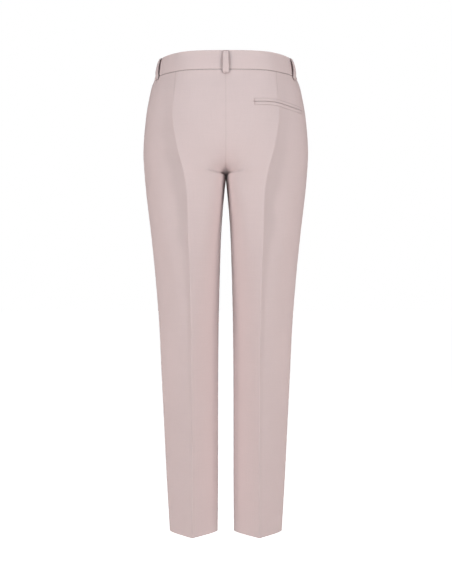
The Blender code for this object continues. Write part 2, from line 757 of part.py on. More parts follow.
def add_zip_slider():
    """Two plates joined by a neck, and a stud on the front plate that holds the tab."""
    across, out, up = slider_axes()
    out = out if out[1] < 0 else -out
    place = near_middle(FRONT_SIDE, SLIDER_Z, ZIP_MIDDLE_X)
    half, neck = SLIDER_WIDTH / 2, SLIDER_NECK / 2
    top = SLIDER_FRONT_DEPTH
    mouth = top + SLIDER_PLATE
    back = mouth + SLIDER_MOUTH
    foot = back + SLIDER_PLATE
    outline = [(-half, top), (half, top), (half, mouth), (neck, mouth), (neck, back), (half, back),
               (half, foot), (-half, foot), (-half, back), (-neck, back), (-neck, mouth), (-half, mouth)]
    points = []
    for end in (-SLIDER_LENGTH / 2, SLIDER_LENGTH / 2):
        points += [place + across * x - out * depth + up * end for x, depth in outline]
    count = len(outline)
    cap = [(0, 1, 2), (0, 2, 3), (0, 3, 10), (0, 10, 11), (3, 4, 9), (3, 9, 10),
           (4, 5, 6), (4, 6, 7), (4, 7, 9), (7, 8, 9)]
    faces = [face[::-1] for face in cap]
    faces += [tuple(i + count for i in face) for face in cap]
    for i in range(count):
        j = (i + 1) % count
        faces += [(i, j, j + count), (i, j + count, i + count)]
    slider = add_object("zip_slider", points, faces, METAL_FINISH)
    foot = top + STUD_SUNK
    profile = [(0, -foot), (STUD_RADIUS, -foot), (STUD_RADIUS, -TAB_DEPTH), (0, -TAB_DEPTH)]
    stud = add_turned("stud", profile, 10, place, out, METAL_FINISH)
    combine(slider, stud, "UNION")
    return place, out, up


def add_zip_tab(place, out, up):
    """A flat tab that hangs from the stud along the closed fly."""
    across = np.array([1.0, 0.0, 0.0])
    top = SLIDER_Z + TAB_ABOVE_STUD
    heights = np.linspace(top - TAB_LENGTH, top, 5)
    outer, inner = [], []
    for height in heights:
        edge = [ZIP_MIDDLE_X - TAB_WIDTH / 2, ZIP_MIDDLE_X + TAB_WIDTH / 2]
        outer.append([near_middle(FRONT_SIDE, height, x, TAB_DEPTH) for x in edge])
        inner.append([near_middle(FRONT_SIDE, height, x, TAB_DEPTH + TAB_THICKNESS) for x in edge])
    tab = add_wall("zip_pull_tab", outer, inner, METAL_FINISH)
    reach = STUD_RADIUS + STUD_CLEARANCE
    profile = [(0, -SLIDER_FRONT_DEPTH), (reach, -SLIDER_FRONT_DEPTH), (reach, 0), (0, 0)]
    cutter = add_turned("tab_cutter", profile, 10, place, out, METAL_FINISH)
    combine(tab, cutter, "DIFFERENCE")


def add_zip():
    add_zip_tape("zip_tape_left", LEFT_TAPE)
    add_zip_tape("zip_tape_right", RIGHT_TAPE)
    place, out, up = add_zip_slider()
    add_zip_tab(place, out, up)


def main():
    for item in list(bpy.data.objects):
        bpy.data.objects.remove(item, do_unlink=True)
    add_panels()
    add_waistband()
    add_belt_loops()
    add_pocket()
    add_button()
    add_zip()


main()
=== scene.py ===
"""Cigarette trousers seen from behind: cloth, sewing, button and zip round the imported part.

The front faces -Y, the back +Y, +Z is up and the wearer's left is +X. Sizes in the tables
are in millimetres, and those in the settings are in metres.
"""

import math
from collections import namedtuple

import bmesh
import bpy
import numpy as np
from bpy.props import FloatProperty, FloatVectorProperty, PointerProperty
from bpy.types import Operator, Panel, PropertyGroup
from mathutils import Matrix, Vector


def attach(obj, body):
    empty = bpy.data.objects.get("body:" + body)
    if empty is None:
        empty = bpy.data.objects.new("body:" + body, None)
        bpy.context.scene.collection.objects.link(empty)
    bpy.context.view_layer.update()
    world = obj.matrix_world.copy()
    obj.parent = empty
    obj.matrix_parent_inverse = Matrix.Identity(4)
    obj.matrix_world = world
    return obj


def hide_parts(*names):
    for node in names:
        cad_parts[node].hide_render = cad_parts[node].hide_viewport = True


bl_info = {
    "name": "Cigarette Trousers",
    "version": (1, 0, 0),
    "blender": (4, 5, 0),
    "location": "View3D > Sidebar > Trousers",
    "description": "Builds the cloth, sewing, button and zip of tapered trousers",
    "category": "Object",
}

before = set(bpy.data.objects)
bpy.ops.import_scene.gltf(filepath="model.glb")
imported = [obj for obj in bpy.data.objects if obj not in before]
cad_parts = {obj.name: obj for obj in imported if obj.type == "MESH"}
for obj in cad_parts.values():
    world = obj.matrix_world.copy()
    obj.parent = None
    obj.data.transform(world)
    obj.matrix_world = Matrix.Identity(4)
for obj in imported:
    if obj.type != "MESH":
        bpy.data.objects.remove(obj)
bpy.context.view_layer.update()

# ---------------------------------------------------------------- sizes, in millimetres

MM = 0.001

# Heights, from the middle of the waistband
BAND_TOP = 18.0
BAND_SEAM = -18.0
PANEL_TOP = -18.1
CROTCH = -213.0
HEM = -918.0
HEM_TURN = 35.0

# The garment's outer face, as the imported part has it
BACK_RISE = 125.0
FRONT_RISE = 90.0
CROTCH_CURVE_POWER = 3.6
CROTCH_LEAVE_POWER = 1.3
ROUND = 0.39
FLAT_MIDDLE = 0.08
SOFT_CORNER = 0.09
FULL_AT_CREASE = 0.5
FULL_PRESS = 48.0
PRESSED_SIDE = 0.55
PRESSED_CREASE = 0.20
CURVE_LENGTH = 90.0
CREASE_SOFT = 0.1
CREASE_SHARES = ((-1.0, 0.125), (-0.5, 0.25), (0.0, 0.25), (0.5, 0.25), (1.0, 0.125))
ACROSS_STEP = 0.02
HEIGHT_STEP = 2.0
MIDDLE_STRIP = 2.0
SAMPLES = np.linspace(0.0, 2.0, 321)
CREASE_SAMPLE = 160

Outline = namedtuple("Outline", "height half_width inner_x")
OUTLINE = [
    Outline(18, 131.4, 0.15),
    Outline(-18, 141.6, 0.15),
    Outline(-30, 146.6, 0.15),
    Outline(-57, 152.8, 0.15),
    Outline(-93, 158.8, 0.15),
    Outline(-165, 164.1, 0.15),
    Outline(-213, 161.4, 0.15),
    Outline(-237, 159.3, 2.4),
    Outline(-273, 155.3, 5.7),
    Outline(-321, 149.5, 9.1),
    Outline(-417, 139.8, 12.4),
    Outline(-513, 132.5, 14.5),
    Outline(-609, 128.0, 15.4),
    Outline(-705, 123.2, 15.6),
    Outline(-801, 118.6, 15.6),
    Outline(-918, 111.8, 16.3),
]

Depth = namedtuple("Depth", "height middle crease_x crease_y turn fold full")
BACK = [
    Depth(18, 101.4, 95.0, 78.2, 43, 0, 0),
    Depth(-18, 100.0, 96.0, 80.0, 40, 0, 0),
    Depth(-60, 110.0, 99.0, 91.0, 30, 0, 0),
    Depth(-100, 117.0, 101.7, 97.0, 27, 0, 0),
    Depth(-158, 119.0, 94.0, 107.0, 19, 4, 0.10),
    Depth(-213, 112.0, 80.0, 105.6, 8, 9, 0.38),
    Depth(-254, 108.0, 73.8, 101.9, 3, 14, 0.36),
    Depth(-332, 100.0, 71.5, 94.6, 0, 22, 0.24),
    Depth(-417, 100.0, 68.5, 86.5, 0, 30, 0.10),
    Depth(-528, 100.0, 66.5, 78.0, 0, 36, 0),
    Depth(-644, 100.0, 65.8, 71.5, 0, 41, 0),
    Depth(-780, 100.0, 65.2, 67.0, 0, 45, 0),
    Depth(-918, 100.0, 65.0, 64.5, 0, 48, 0),
]
FRONT = [
    Depth(18, 98.0, 84.0, 82.0, 30, 0, 0),
    Depth(-18, 99.0, 84.0, 83.0, 28, 0, 0),
    Depth(-60, 106.0, 84.0, 93.0, 21, 0, 0),
    Depth(-100, 110.0, 84.0, 98.0, 19, 2, 0),
    Depth(-165, 107.0, 82.0, 101.0, 12, 5, 0.08),
    Depth(-213, 104.0, 80.0, 101.0, 5, 9, 0.30),
    Depth(-254, 100.0, 77.5, 98.0, 1, 13, 0.28),
    Depth(-332, 100.0, 75.0, 92.0, 0, 21, 0.16),
    Depth(-417, 100.0, 73.0, 86.5, 0, 29, 0.06),
    Depth(-528, 100.0, 70.8, 80.0, 0, 36, 0),
    Depth(-644, 100.0, 68.6, 74.5, 0, 41, 0),
    Depth(-780, 100.0, 66.4, 68.5, 0, 45, 0),
    Depth(-918, 100.0, 64.6, 64.5, 0, 48, 0),
]
Side = namedtuple("Side", "name table sign rise")
BACK_SIDE = Side("back", BACK, 1.0, BACK_RISE)
FRONT_SIDE = Side("front", FRONT, -1.0, FRONT_RISE)
LEFT, RIGHT = 1, -1

# Fly
FLY_FOOT = -128.0
FLY_NARROW_FOOT = -138.0
FLY_SOFT_FOOT = -154.0
FLY_OVERLAP = 8.0
FLY_UNDERLAP = 4.0
FLY_DIP_FULL = 9.0
FLY_DIP_NONE = 15.0
FLY_LAYER = 1.8
LAP_SPREAD = 14.0
FLY_STITCH_X = 31.0
FLY_STITCH_TURN = -98.0
FLY_STITCH_END = 2.0

# Waistband
BAND_PROUD = 0.8
BAND_CLOTH = 2.4
BAND_LAYER = 2.7
BAND_UNDERLAP = 30.0
BAND_DIP_FULL = 9.5
BAND_DIP_NONE = 18.0
BAND_EDGE = 0.8
BAND_BULGE = 0.45
BAND_PUCKER_REACH = 5.0
BAND_STILL = 12.0
BAND_CELLS = 96
BAND_ENDS = (0.0, 0.1, 0.35, 0.8, 1.3, 2.6)

# Belt loops
LOOP_WIDTH = 13.0
LOOP_CROWN = 0.35
LOOP_ENDS = (0.0, 0.12, 0.4, 0.9)
LOOP_EDGE = 0.9
TACK_STEP = 0.42
TACK_THIN = 0.8
SIDE_LOOP_ROUND = 156.0
FRONT_LOOP_ROUND = 86.0
LoopRow = namedtuple("LoopRow", "height lift cloth narrow")
LOOP_ROWS = [
    LoopRow(17.4, 1.1, 0.9, 1.5),
    LoopRow(15.5, 1.6, 1.7, 1.4),
    LoopRow(9.0, 3.4, 1.8, 1.1),
    LoopRow(-2.0, 4.2, 1.8, 0.8),
    LoopRow(-11.0, 3.8, 1.8, 0.4),
    LoopRow(-17.0, 2.5, 1.8, 0.2),
    LoopRow(-22.0, 1.1, 1.8, 0.1),
    LoopRow(-26.5, 0.5, 1.5, 1.2),
]
LOOP_TACK_FOOT = -24.2
LOOP_TACK_TOP = 14.8

# Double-welt pocket on the wearer's right
POCKET_START = 54.0
POCKET_END = 172.0
POCKET_TOP = -75.0
POCKET_LIP = 6.15
POCKET_MOUTH = 0.6
POCKET_MIDDLE = POCKET_TOP - POCKET_LIP - POCKET_MOUTH / 2
POCKET_FOOT = POCKET_TOP - 2 * POCKET_LIP - POCKET_MOUTH
POCKET_CLOTH = 1.1
POCKET_CELL = 2.0
LIP_ENDS = (0.0, 0.08, 0.25, 0.55)
LIP_BULGE = 0.28
LIP_SUNK = 0.22
POCKET_SUNK = 0.7
POCKET_SLIT = 1.6
PocketFall = namedtuple("PocketFall", "length fall")
POCKET_FALL = [
    PocketFall(54, 0.0),
    PocketFall(72, -1.2),
    PocketFall(89, -1.5),
    PocketFall(108, -0.5),
    PocketFall(131, 2.3),
    PocketFall(150, 4.6),
    PocketFall(172, 6.6),
]

# Button
BUTTON_X = -4.0
BUTTON_RADIUS = 7.5
BUTTON_THICKNESS = 2.8
BUTTON_DISH = 0.7
BUTTON_RIM = 2.0
BUTTON_BACK_RIM = 1.4
BUTTON_BACK_DISH = 0.3
BUTTON_BEVEL = 0.45
BUTTON_SHANK_RADIUS = 1.6
BUTTON_HOLE_RADIUS = 0.9
BUTTON_HOLE_SPREAD = 1.7
BUTTON_CLEAR = 0.3
BUTTONHOLE_LENGTH = 14.0
BUTTONHOLE_SLIT = 1.2
EYELET_RADIUS = 2.1
CUT_THROUGH = 12.0

# Zip
ZIP_MIDDLE_X = -10.0
ZIP_TOP = -20.0
ZIP_FOOT = -126.0
ZIP_TAPE = 0.8
TAPE_ENDS = (0.0, 0.06, 0.2, 0.4)
ZIP_DEPTH = 4.3
TOOTH_PITCH = 2.0
TOOTH_SIZE = (2.4, 1.5, 1.0)
TOOTH_BEVEL = 0.28
TOOTH_ASIDE = 0.75
TOOTH_PROUD = 0.15
TapeColumn = namedtuple("TapeColumn", "x depth")
LEFT_TAPE = [
    TapeColumn(-9.0, ZIP_DEPTH),
    TapeColumn(-6.0, ZIP_DEPTH),
    TapeColumn(-3.5, 3.6),
    TapeColumn(5.0, 3.6),
]
RIGHT_TAPE = [
    TapeColumn(-11.0, ZIP_DEPTH),
    TapeColumn(-14.0, ZIP_DEPTH),
    TapeColumn(-18.0, 1.9),
    TapeColumn(-25.0, 1.9),
]

# Hollow of the worn cloth outside its crease: how deep it is, how far out it is deepest, how
# much it nips in close to the crease, and how strongly shade is painted on the cloth there
Hollow = namedtuple("Hollow", "height depth width nip dull")
HOLLOW = [
    Hollow(-20, 0.0, 22, 0.0, 0.15),
    Hollow(-45, 1.6, 22, 0.1, 0.25),
    Hollow(-100, 3.4, 24, 0.4, 0.35),
    Hollow(-150, 4.6, 29, 0.5, 0.65),
    Hollow(-215, 5.0, 30, 0.5, 1.0),
    Hollow(-285, 4.4, 26, 0.7, 1.0),
    Hollow(-340, 3.2, 20, 0.9, 0.8),
    Hollow(-400, 2.0, 14, 1.0, 0.6),
    Hollow(-460, 1.2, 11, 1.0, 0.5),
    Hollow(-550, 0.6, 9, 0.8, 0.4),
    Hollow(-680, 0.2, 8, 0.5, 0.25),
    Hollow(-800, 0.0, 8, 0.2, 0.1),
]
HOLLOW_END = 3.2
NIP_WIDTH = 7.0
FRONT_HOLLOW = 0.8
CREASE_SHADE_START = (-1.5, 2.5)
CREASE_SHADE_END = (0.7, 1.45)

# Uneven waves of the cloth: the seed of their lengths, their shortest and longest, their height
Wave = namedtuple("Wave", "seed shortest longest size")
MIDDLE_PUCKER = Wave(1, 12, 34, 1.0)
INSEAM_PUCKER = Wave(3, 12, 40, 1.0)
SIDE_PUCKER = Wave(5, 11, 38, 1.3)
LONG_WAVE = Wave(31, 70, 320, 0.45)
LONG_WAVE_ACROSS = Wave(32, 60, 160, 1.0)
SHORT_WAVE = Wave(81, 17, 46, 0.10)
HOLLOW_WAVE = Wave(61, 70, 210, 0.15)
CREASE_SHADE_WAVE = Wave(63, 60, 170, 0.12)
KNEE_RIPPLE = Wave(83, 5.5, 9.0, 0.2)
BAND_WAVE = Wave(71, 28, 120, 0.22)
BAND_PUCKER = Wave(75, 9, 24, 0.12)
LOOP_SWAY = Wave(0, 14, 40, 0.12)
LIP_WAVE = Wave(91, 16, 60, 0.12)
WAVE_PARTS = 5
WAVE_SCALE = 2.2
RIGHT_SEAM_SEEDS = 20
RIGHT_WAVE_SEEDS = 3
FRONT_WAVE_SEEDS = 7
FRONT_HOLLOW_SEEDS = 3

# Stretches of height or of width: 0 outside their ends and 1 between the two places inside
Stretch = namedtuple("Stretch", "start full still end")
FOLD_LENGTH = Stretch(-0.12, 0.35, 0.6, 1.12)
SEAT_VALLEY = Stretch(-212.0, -175.0, -120.0, -80.0)
DART_LAYER = Stretch(-11.0, -7.0, -0.6, 0.2)
KNEE_HEIGHTS = Stretch(-470.0, -430.0, -395.0, -365.0)
KNEE_WIDTHS = Stretch(26.0, 38.0, 52.0, 64.0)
POCKET_FALL_HEIGHTS = Stretch(-112.0, -92.0, -71.0, -56.0)

# Small relief of the cloth: how far a seam's puckers reach, the lift of its allowances, and how
# far from the seams, the waistband and the hem the folds start
INNER_PUCKER_REACH = 10.0
SIDE_PUCKER_REACH = 11.0
ALLOWANCE_LIFT = 0.22
ALLOWANCE_END = (8.0, 12.5)
FOLDS_FROM_INNER = 22.0
FOLDS_FROM_SIDE = 26.0
FOLDS_FROM_BAND = 26.0
FOLDS_FROM_HEM = 60.0
FOLD_BOW = 0.06
VALLEY_DEPTH = 1.5
VALLEY_WIDTH = 17.0
DART_END = (56.0, 92.0)
DART_DEPTH = 0.5
DART_WIDTH = 0.8
DART_LIFT = 0.25

# Folds of the worn cloth: a line between two places, each given by its distance outside
# the crease and its height, with the fold's half width and its height off the cloth
Fold = namedtuple("Fold", "side hand off_a z_a off_b z_b width depth")
FOLDS = [
    Fold("back", LEFT, 68, -170, 50, -420, 22, 0.9),
    Fold("back", RIGHT, 66, -180, 52, -400, 24, 0.8),
    Fold("back", LEFT, -50, -95, -44, -150, 26, 1.2),
    Fold("back", RIGHT, -52, -92, -46, -152, 27, 1.2),
    Fold("back", LEFT, -38, -240, -33, -372, 8, 0.9),
    Fold("back", RIGHT, -39, -235, -32, -360, 8, 0.8),
    Fold("back", LEFT, -58, -205, -20, -262, 12, -0.7),
    Fold("back", RIGHT, -57, -210, -22, -258, 12, -0.8),
    Fold("back", LEFT, 20, -520, 40, -600, 15, -0.5),
    Fold("back", RIGHT, -30, -560, 24, -596, 13, -0.4),
    Fold("back", LEFT, -34, -650, -28, -820, 16, 0.5),
    Fold("back", RIGHT, 32, -640, 26, -800, 17, 0.4),
    Fold("front", LEFT, -66, -152, -14, -186, 8, -0.8),
    Fold("front", RIGHT, -64, -158, -16, -196, 8, -0.7),
    Fold("front", LEFT, -58, -186, -22, -236, 9, -0.7),
    Fold("front", RIGHT, -60, -190, -20, -230, 9, -0.8),
    Fold("front", LEFT, -30, -500, 30, -530, 14, -0.5),
    Fold("front", RIGHT, -24, -540, 26, -512, 14, -0.5),
    Fold("front", LEFT, 30, -620, 24, -800, 17, 0.5),
    Fold("front", RIGHT, -30, -640, -26, -780, 16, 0.4),
]

# Cloth sheets: the cut of what shows with its turned-in edges, in metres, and its flat area
# in square metres
Cut = namedtuple("Cut", "width length area")

# Soft lights in metres and watts: those off the middle stand on both sides, and each one looks
# at this height on the garment. Spread is how wide a light's beam opens, in degrees
Lamp = namedtuple("Lamp", "name x y z looks_at width tall spread watts colour")
LAMPS = [
    Lamp("behind", 1.8, 2.0, 0.8, -0.4, 1.0, 1.2, 180, 28.2, (0.78, 0.95, 1.00)),
    Lamp("beside", 2.0, 1.4, -0.4, -0.4, 1.0, 1.2, 180, 25.4, (1.00, 0.86, 0.80)),
    Lamp("above", 0.0, 0.5, 1.8, -0.4, 1.6, 0.8, 180, 12.4, (1.00, 0.92, 0.92)),
    Lamp("below", 0.0, 2.4, -0.9, -0.2, 0.8, 0.4, 180, 2.2, (0.85, 0.95, 1.00)),
    Lamp("low_beside", 1.0, -0.5, -0.8, -0.6, 0.5, 0.8, 180, 1.0, (1.00, 0.90, 0.90)),
    Lamp("before", 0.0, -2.6, -0.3, -0.42, 1.6, 1.2, 40, 6.8, (1.00, 0.96, 0.96)),
]
FLOOR_RADIUS = 40.0


# ---------------------------------------------------------------- the garment's surface

def steady_slopes(heights, values):
    """Slopes of a curve through the values that never overshoots between them."""
    steps = np.diff(heights)
    rises = np.diff(values) / steps
    slopes = np.zeros(len(values))
    for i in range(1, len(values) - 1):
        before, after = rises[i - 1], rises[i]
        if before * after > 0:
            weight = 2 * steps[i] + steps[i - 1]
            other = steps[i] + 2 * steps[i - 1]
            slopes[i] = (weight + other) / (weight / before + other / after)
    slopes[0] = rises[0]
    slopes[-1] = rises[-1]
    return slopes


def curve_reader(table, column):
    """A function that reads one named column of a table at any values of its first one."""
    rows = sorted(table, key=lambda row: row[0])
    heights = np.array([row[0] for row in rows], dtype=float)
    values = np.array([getattr(row, column) for row in rows], dtype=float)
    slopes = steady_slopes(heights, values)

    def read(at):
        at = np.clip(at, heights[0], heights[-1])
        i = np.clip(np.searchsorted(heights, at, side="right") - 1, 0, len(heights) - 2)
        step = heights[i + 1] - heights[i]
        t = (at - heights[i]) / step
        s = 1.0 - t
        start = values[i] * (1 + 2 * t) * s ** 2 + slopes[i] * step * t * s ** 2
        end = values[i + 1] * t * t * (3 - 2 * t) - slopes[i + 1] * step * t * t * s
        return start + end

    return read


def readers(table):
    return {column: curve_reader(table, column) for column in table[0]._fields[1:]}


OUTLINE_AT = readers(OUTLINE)
DEPTH_AT = {side.name: readers(side.table) for side in (BACK_SIDE, FRONT_SIDE)}
LOOP_AT = readers(LOOP_ROWS)
HOLLOW_AT = readers(HOLLOW)
POCKET_FALL_AT = curve_reader(POCKET_FALL, "fall")


def unit(vectors):
    return vectors / np.maximum(np.linalg.norm(vectors, axis=-1, keepdims=True), 1e-12)


def pair(x, y):
    return np.stack(np.broadcast_arrays(x, y), axis=-1)


def crotch_reach(height, side):
    """How far out the middle is, from 0 at the crotch to 1 at the top of the rise."""
    part = np.clip((height - CROTCH) / side.rise, 0.0, 1.0)
    return (1.0 - (1.0 - part) ** CROTCH_CURVE_POWER) ** (1.0 / CROTCH_CURVE_POWER)


def quarter_curves(side, height):
    """Control points of a quarter's two curves: middle to crease, crease to side seam."""
    at = DEPTH_AT[side.name]
    reach = crotch_reach(height, side)
    turn, fold = at["turn"](height), at["fold"](height)
    middle_depth = at["middle"](height)
    middle = pair(OUTLINE_AT["inner_x"](height), side.sign * middle_depth * reach)
    crease = pair(at["crease_x"](height), side.sign * at["crease_y"](height))
    seam = pair(OUTLINE_AT["half_width"](height), 0.0)

    leave = unit(pair(crease[..., 0] * reach ** CROTCH_LEAVE_POWER,
                      side.sign * middle_depth * (1.0 - reach * reach)))
    press = fold / FULL_PRESS
    round_side = ROUND * (1.0 - PRESSED_SIDE * press)
    round_crease = ROUND * (1.0 - PRESSED_CREASE * press)
    inner = np.linalg.norm(crease - middle, axis=-1)
    outer = np.linalg.norm(seam - crease, axis=-1)
    full = at["full"](height) * (1.0 - reach * reach)
    from_middle = (round_side + full + FLAT_MIDDLE * reach) * inner
    from_crease = (round_crease + full * FULL_AT_CREASE - SOFT_CORNER * reach) * inner
    inwards, outwards = np.radians(turn - fold), np.radians(turn + fold)
    to_middle = pair(-np.cos(inwards), side.sign * np.sin(inwards))
    to_side = pair(np.cos(outwards), -side.sign * np.sin(outwards))
    at_seam = (round_side - SOFT_CORNER * turn / 90.0) * outer
    to_crease = (middle, middle + leave * from_middle[..., None],
                 crease + to_middle * from_crease[..., None], crease)
    to_seam = (crease, crease + to_side * (round_crease * outer)[..., None],
               seam + pair(0.0, side.sign * at_seam), seam)
    return to_crease, to_seam


def bezier(points, t):
    a, b, c, d = points
    t = t[..., None]
    s = 1.0 - t
    return a * s ** 3 + b * 3 * s * s * t + c * 3 * s * t * t + d * t ** 3


def surface(side, height, across):
    """The cloth's outer face on the wearer's left.

    across is 0 at the inner edge, 1 at the crease and 2 at the side seam.
    """
    height, across = np.broadcast_arrays(np.asarray(height, dtype=float), np.asarray(across, dtype=float))
    to_crease, to_seam = quarter_curves(side, height)
    inner = bezier(to_crease, np.clip(across, 0.0, 1.0))
    outer = bezier(to_seam, np.clip(across - 1.0, 0.0, 1.0))
    flat = np.where((across <= 1.0)[..., None], inner, outer)
    return np.concatenate([flat, height[..., None]], axis=-1)


def outward(side, height, across):
    """The direction out of the cloth's outer face."""
    height, across = np.broadcast_arrays(np.asarray(height, dtype=float), np.asarray(across, dtype=float))
    along = (surface(side, height, np.minimum(across + ACROSS_STEP, 2.0))
             - surface(side, height, np.maximum(across - ACROSS_STEP, 0.0)))
    rise = (surface(side, np.minimum(height + HEIGHT_STEP, BAND_TOP), across)
            - surface(side, np.maximum(height - HEIGHT_STEP, HEM), across))
    out = unit(-side.sign * np.cross(along, rise))
    flat_middle = (across <= ACROSS_STEP) & (crotch_reach(height, side) >= 1.0)
    out[..., 0] = np.where(flat_middle, 0.0, out[..., 0])
    return unit(out)


def soft_surface(side, height, across, crease_round):
    """The outer face with its pressed crease rounded a little."""
    reach = crease_round / CURVE_LENGTH * np.clip(1.0 - np.abs(across - 1.0) / CREASE_SOFT, 0.0, 1.0)
    total = np.zeros(np.broadcast(height, across).shape + (3,))
    for shift, weight in CREASE_SHARES:
        total += weight * surface(side, height, np.clip(across + shift * reach, 0.0, 2.0))
    return total


def run_round(side, heights):
    """Length run round each section from its inner edge to every value of SAMPLES."""
    points = surface(side, np.asarray(heights, dtype=float)[..., None], SAMPLES)
    steps = np.linalg.norm(np.diff(points, axis=-2), axis=-1)
    return np.concatenate([np.zeros(steps.shape[:-1] + (1,)), np.cumsum(steps, axis=-1)], axis=-1)


def across_at_length(side, heights, lengths):
    """Where each section has run this length; lengths has a row for each height."""
    rounds = run_round(side, heights)
    return np.array([np.interp(row, run, SAMPLES) for row, run in zip(lengths, rounds)])


def across_at_x(side, heights, xs):
    """Where each section's inner curve is this far out; xs has a row for each height."""
    inner = SAMPLES[SAMPLES <= 1.0]
    reaches = surface(side, np.asarray(heights, dtype=float)[:, None], inner)[..., 0]
    return np.array([np.interp(row, reach, inner) for row, reach in zip(xs, reaches)])


def smooth(value, low, high):
    """0 below low, 1 above high, and a soft step between."""
    part = np.clip((value - low) / (high - low), 0.0, 1.0)
    return part * part * (3.0 - 2.0 * part)


def within(value, stretch):
    """1 inside a stretch, 0 outside it, and soft at both ends."""
    return smooth(value, stretch.start, stretch.full) * (1.0 - smooth(value, stretch.still, stretch.end))


def hump(value, width):
    """1 at 0, and almost nothing at twice this width."""
    return np.exp(-(value / width) ** 2)


# ---------------------------------------------------------------- relief of the worn cloth

def ripple(place, wave, shift=0):
    """An uneven wave, the same for the same seed; shift gives another one of its kind."""
    random = np.random.default_rng(wave.seed + shift)
    total = np.zeros(np.shape(place))
    for length in np.geomspace(wave.shortest, wave.longest, WAVE_PARTS):
        size = random.uniform(0.5, 1.0)
        phase = random.uniform(0.0, 2 * math.pi)
        total = total + size * np.cos(2 * math.pi * place / (length * random.uniform(0.85, 1.15)) + phase)
    return wave.size * (total / WAVE_SCALE)


def fold_relief(side, hand, off, height):
    """The soft folds of one panel, at these distances outside its crease."""
    total = np.zeros(np.shape(off))
    for fold in FOLDS:
        if (fold.side, fold.hand) != (side.name, hand):
            continue
        line = np.array([fold.off_b - fold.off_a, fold.z_b - fold.z_a])
        length = np.linalg.norm(line)
        line = line / length
        x, z = off - fold.off_a, height - fold.z_a
        along = (x * line[0] + z * line[1]) / length
        bow = FOLD_BOW * length * np.sin(math.pi * np.clip(along, 0.0, 1.0)) * line[0]
        aside = x * line[1] - z * line[0] + bow
        total += fold.depth * within(along, FOLD_LENGTH) * hump(aside, fold.width)
    return total


def crease_hollow(side, hand, off, height):
    """How far the cloth falls in outside its crease, unevenly down the leg."""
    off = np.maximum(off, 0.0)
    part = off / HOLLOW_AT["width"](height)
    falls = np.sin(math.pi / 2 * np.minimum(part, 1.0))
    rises = (1.0 + np.cos(math.pi * np.clip((part - 1.0) / (HOLLOW_END - 1.0), 0.0, 1.0))) / 2
    nip = off / NIP_WIDTH
    front = side is FRONT_SIDE
    uneven = 1.0 + ripple(height, HOLLOW_WAVE, (FRONT_HOLLOW_SEEDS + hand) * front)
    uneven = uneven * (FRONT_HOLLOW if front else 1.0)
    wide = HOLLOW_AT["depth"](height) * falls * rises
    return -uneven * (wide + HOLLOW_AT["nip"](height) * nip * np.exp(1.0 - nip))


def painted_crease_shade(hand, off, height):
    """Painted shade, in an uneven band outside the crease."""
    width = HOLLOW_AT["width"](height) * (1.0 + ripple(height, CREASE_SHADE_WAVE, hand))
    ends = 1.0 - smooth(off, CREASE_SHADE_END[0] * width, CREASE_SHADE_END[1] * width)
    return HOLLOW_AT["dull"](height) * smooth(off, *CREASE_SHADE_START) * ends


def relief(cloth, side, hand, height, run, to_crease, to_seam):
    """How far the cloth stands off its smooth form, in millimetres."""
    off = run - to_crease
    from_seam = to_seam - run
    right = hand == RIGHT
    shift = RIGHT_SEAM_SEEDS * right
    middle = np.where(height > CROTCH, ripple(height, MIDDLE_PUCKER), ripple(height, INSEAM_PUCKER, shift))
    edge = np.exp(-np.maximum(run, 0.0) / INNER_PUCKER_REACH)
    side_edge = np.exp(-np.maximum(from_seam, 0.0) / SIDE_PUCKER_REACH)
    total = cloth.pucker_depth / MM * (middle * edge + ripple(height, SIDE_PUCKER, shift) * side_edge)
    for distance in (run, from_seam):
        total += ALLOWANCE_LIFT * (1.0 - smooth(distance, *ALLOWANCE_END))
    # soft folds and long uneven waves fade out towards the seams
    inside = smooth(run, 0.0, FOLDS_FROM_INNER) * smooth(from_seam, 0.0, FOLDS_FROM_SIDE)
    inside = inside * smooth(-height, -BAND_SEAM, -BAND_SEAM + FOLDS_FROM_BAND)
    inside = inside * smooth(height, HEM, HEM + FOLDS_FROM_HEM)
    shift = FRONT_WAVE_SEEDS * (side is FRONT_SIDE) + RIGHT_WAVE_SEEDS * right
    waves = ripple(height + 0.5 * off, LONG_WAVE, shift) * ripple(off, LONG_WAVE_ACROSS, shift)
    waves += ripple(height - 0.8 * off, SHORT_WAVE, shift)
    folds = fold_relief(side, hand, off, height) + crease_hollow(side, hand, off, height)
    total += cloth.fold_strength * (folds + waves) * inside
    if side is BACK_SIDE:
        # between the two cheeks of the seat the cloth falls in a little
        total -= VALLEY_DEPTH * hump(run, VALLEY_WIDTH) * within(height, SEAT_VALLEY)
        # dart: a fine groove, with the folded cloth under its inner side
        dart = 1.0 - smooth(-height, *DART_END)
        total += dart * (DART_LIFT * within(off, DART_LAYER) - DART_DEPTH * hump(off, DART_WIDTH))
        # small ripples behind the knee's upper end
        knee = within(height, KNEE_HEIGHTS) * within(off, KNEE_WIDTHS)
        total += ripple(height - 0.3 * off, KNEE_RIPPLE, hand) * knee
    return total


def pocket_relief(height, run):
    """Grooves in the cloth round the pocket's lips; height is that before the pocket's fall."""
    window = within(run, Stretch(POCKET_START - 3.0, POCKET_START + 1.5, POCKET_END - 1.5, POCKET_END + 3.0))
    inside = within(height, Stretch(POCKET_FOOT - 0.8, POCKET_FOOT + 0.2, POCKET_TOP - 0.2, POCKET_TOP + 0.8))
    return -window * (POCKET_SUNK * inside + POCKET_SLIT * hump(height - POCKET_MIDDLE, 0.9))


def pocket_fall(height, run):
    """How far the rows round the pocket fall towards the side seam."""
    return POCKET_FALL_AT(run) * within(height, POCKET_FALL_HEIGHTS)


# ---------------------------------------------------------------- meshes

def grid_lines(low, high, near_ends, inner):
    """Places of a grid's lines: some close to both ends, and the inner ones between them."""
    return np.array([low + near for near in near_ends] + list(inner)
                    + [high - near for near in reversed(near_ends)])


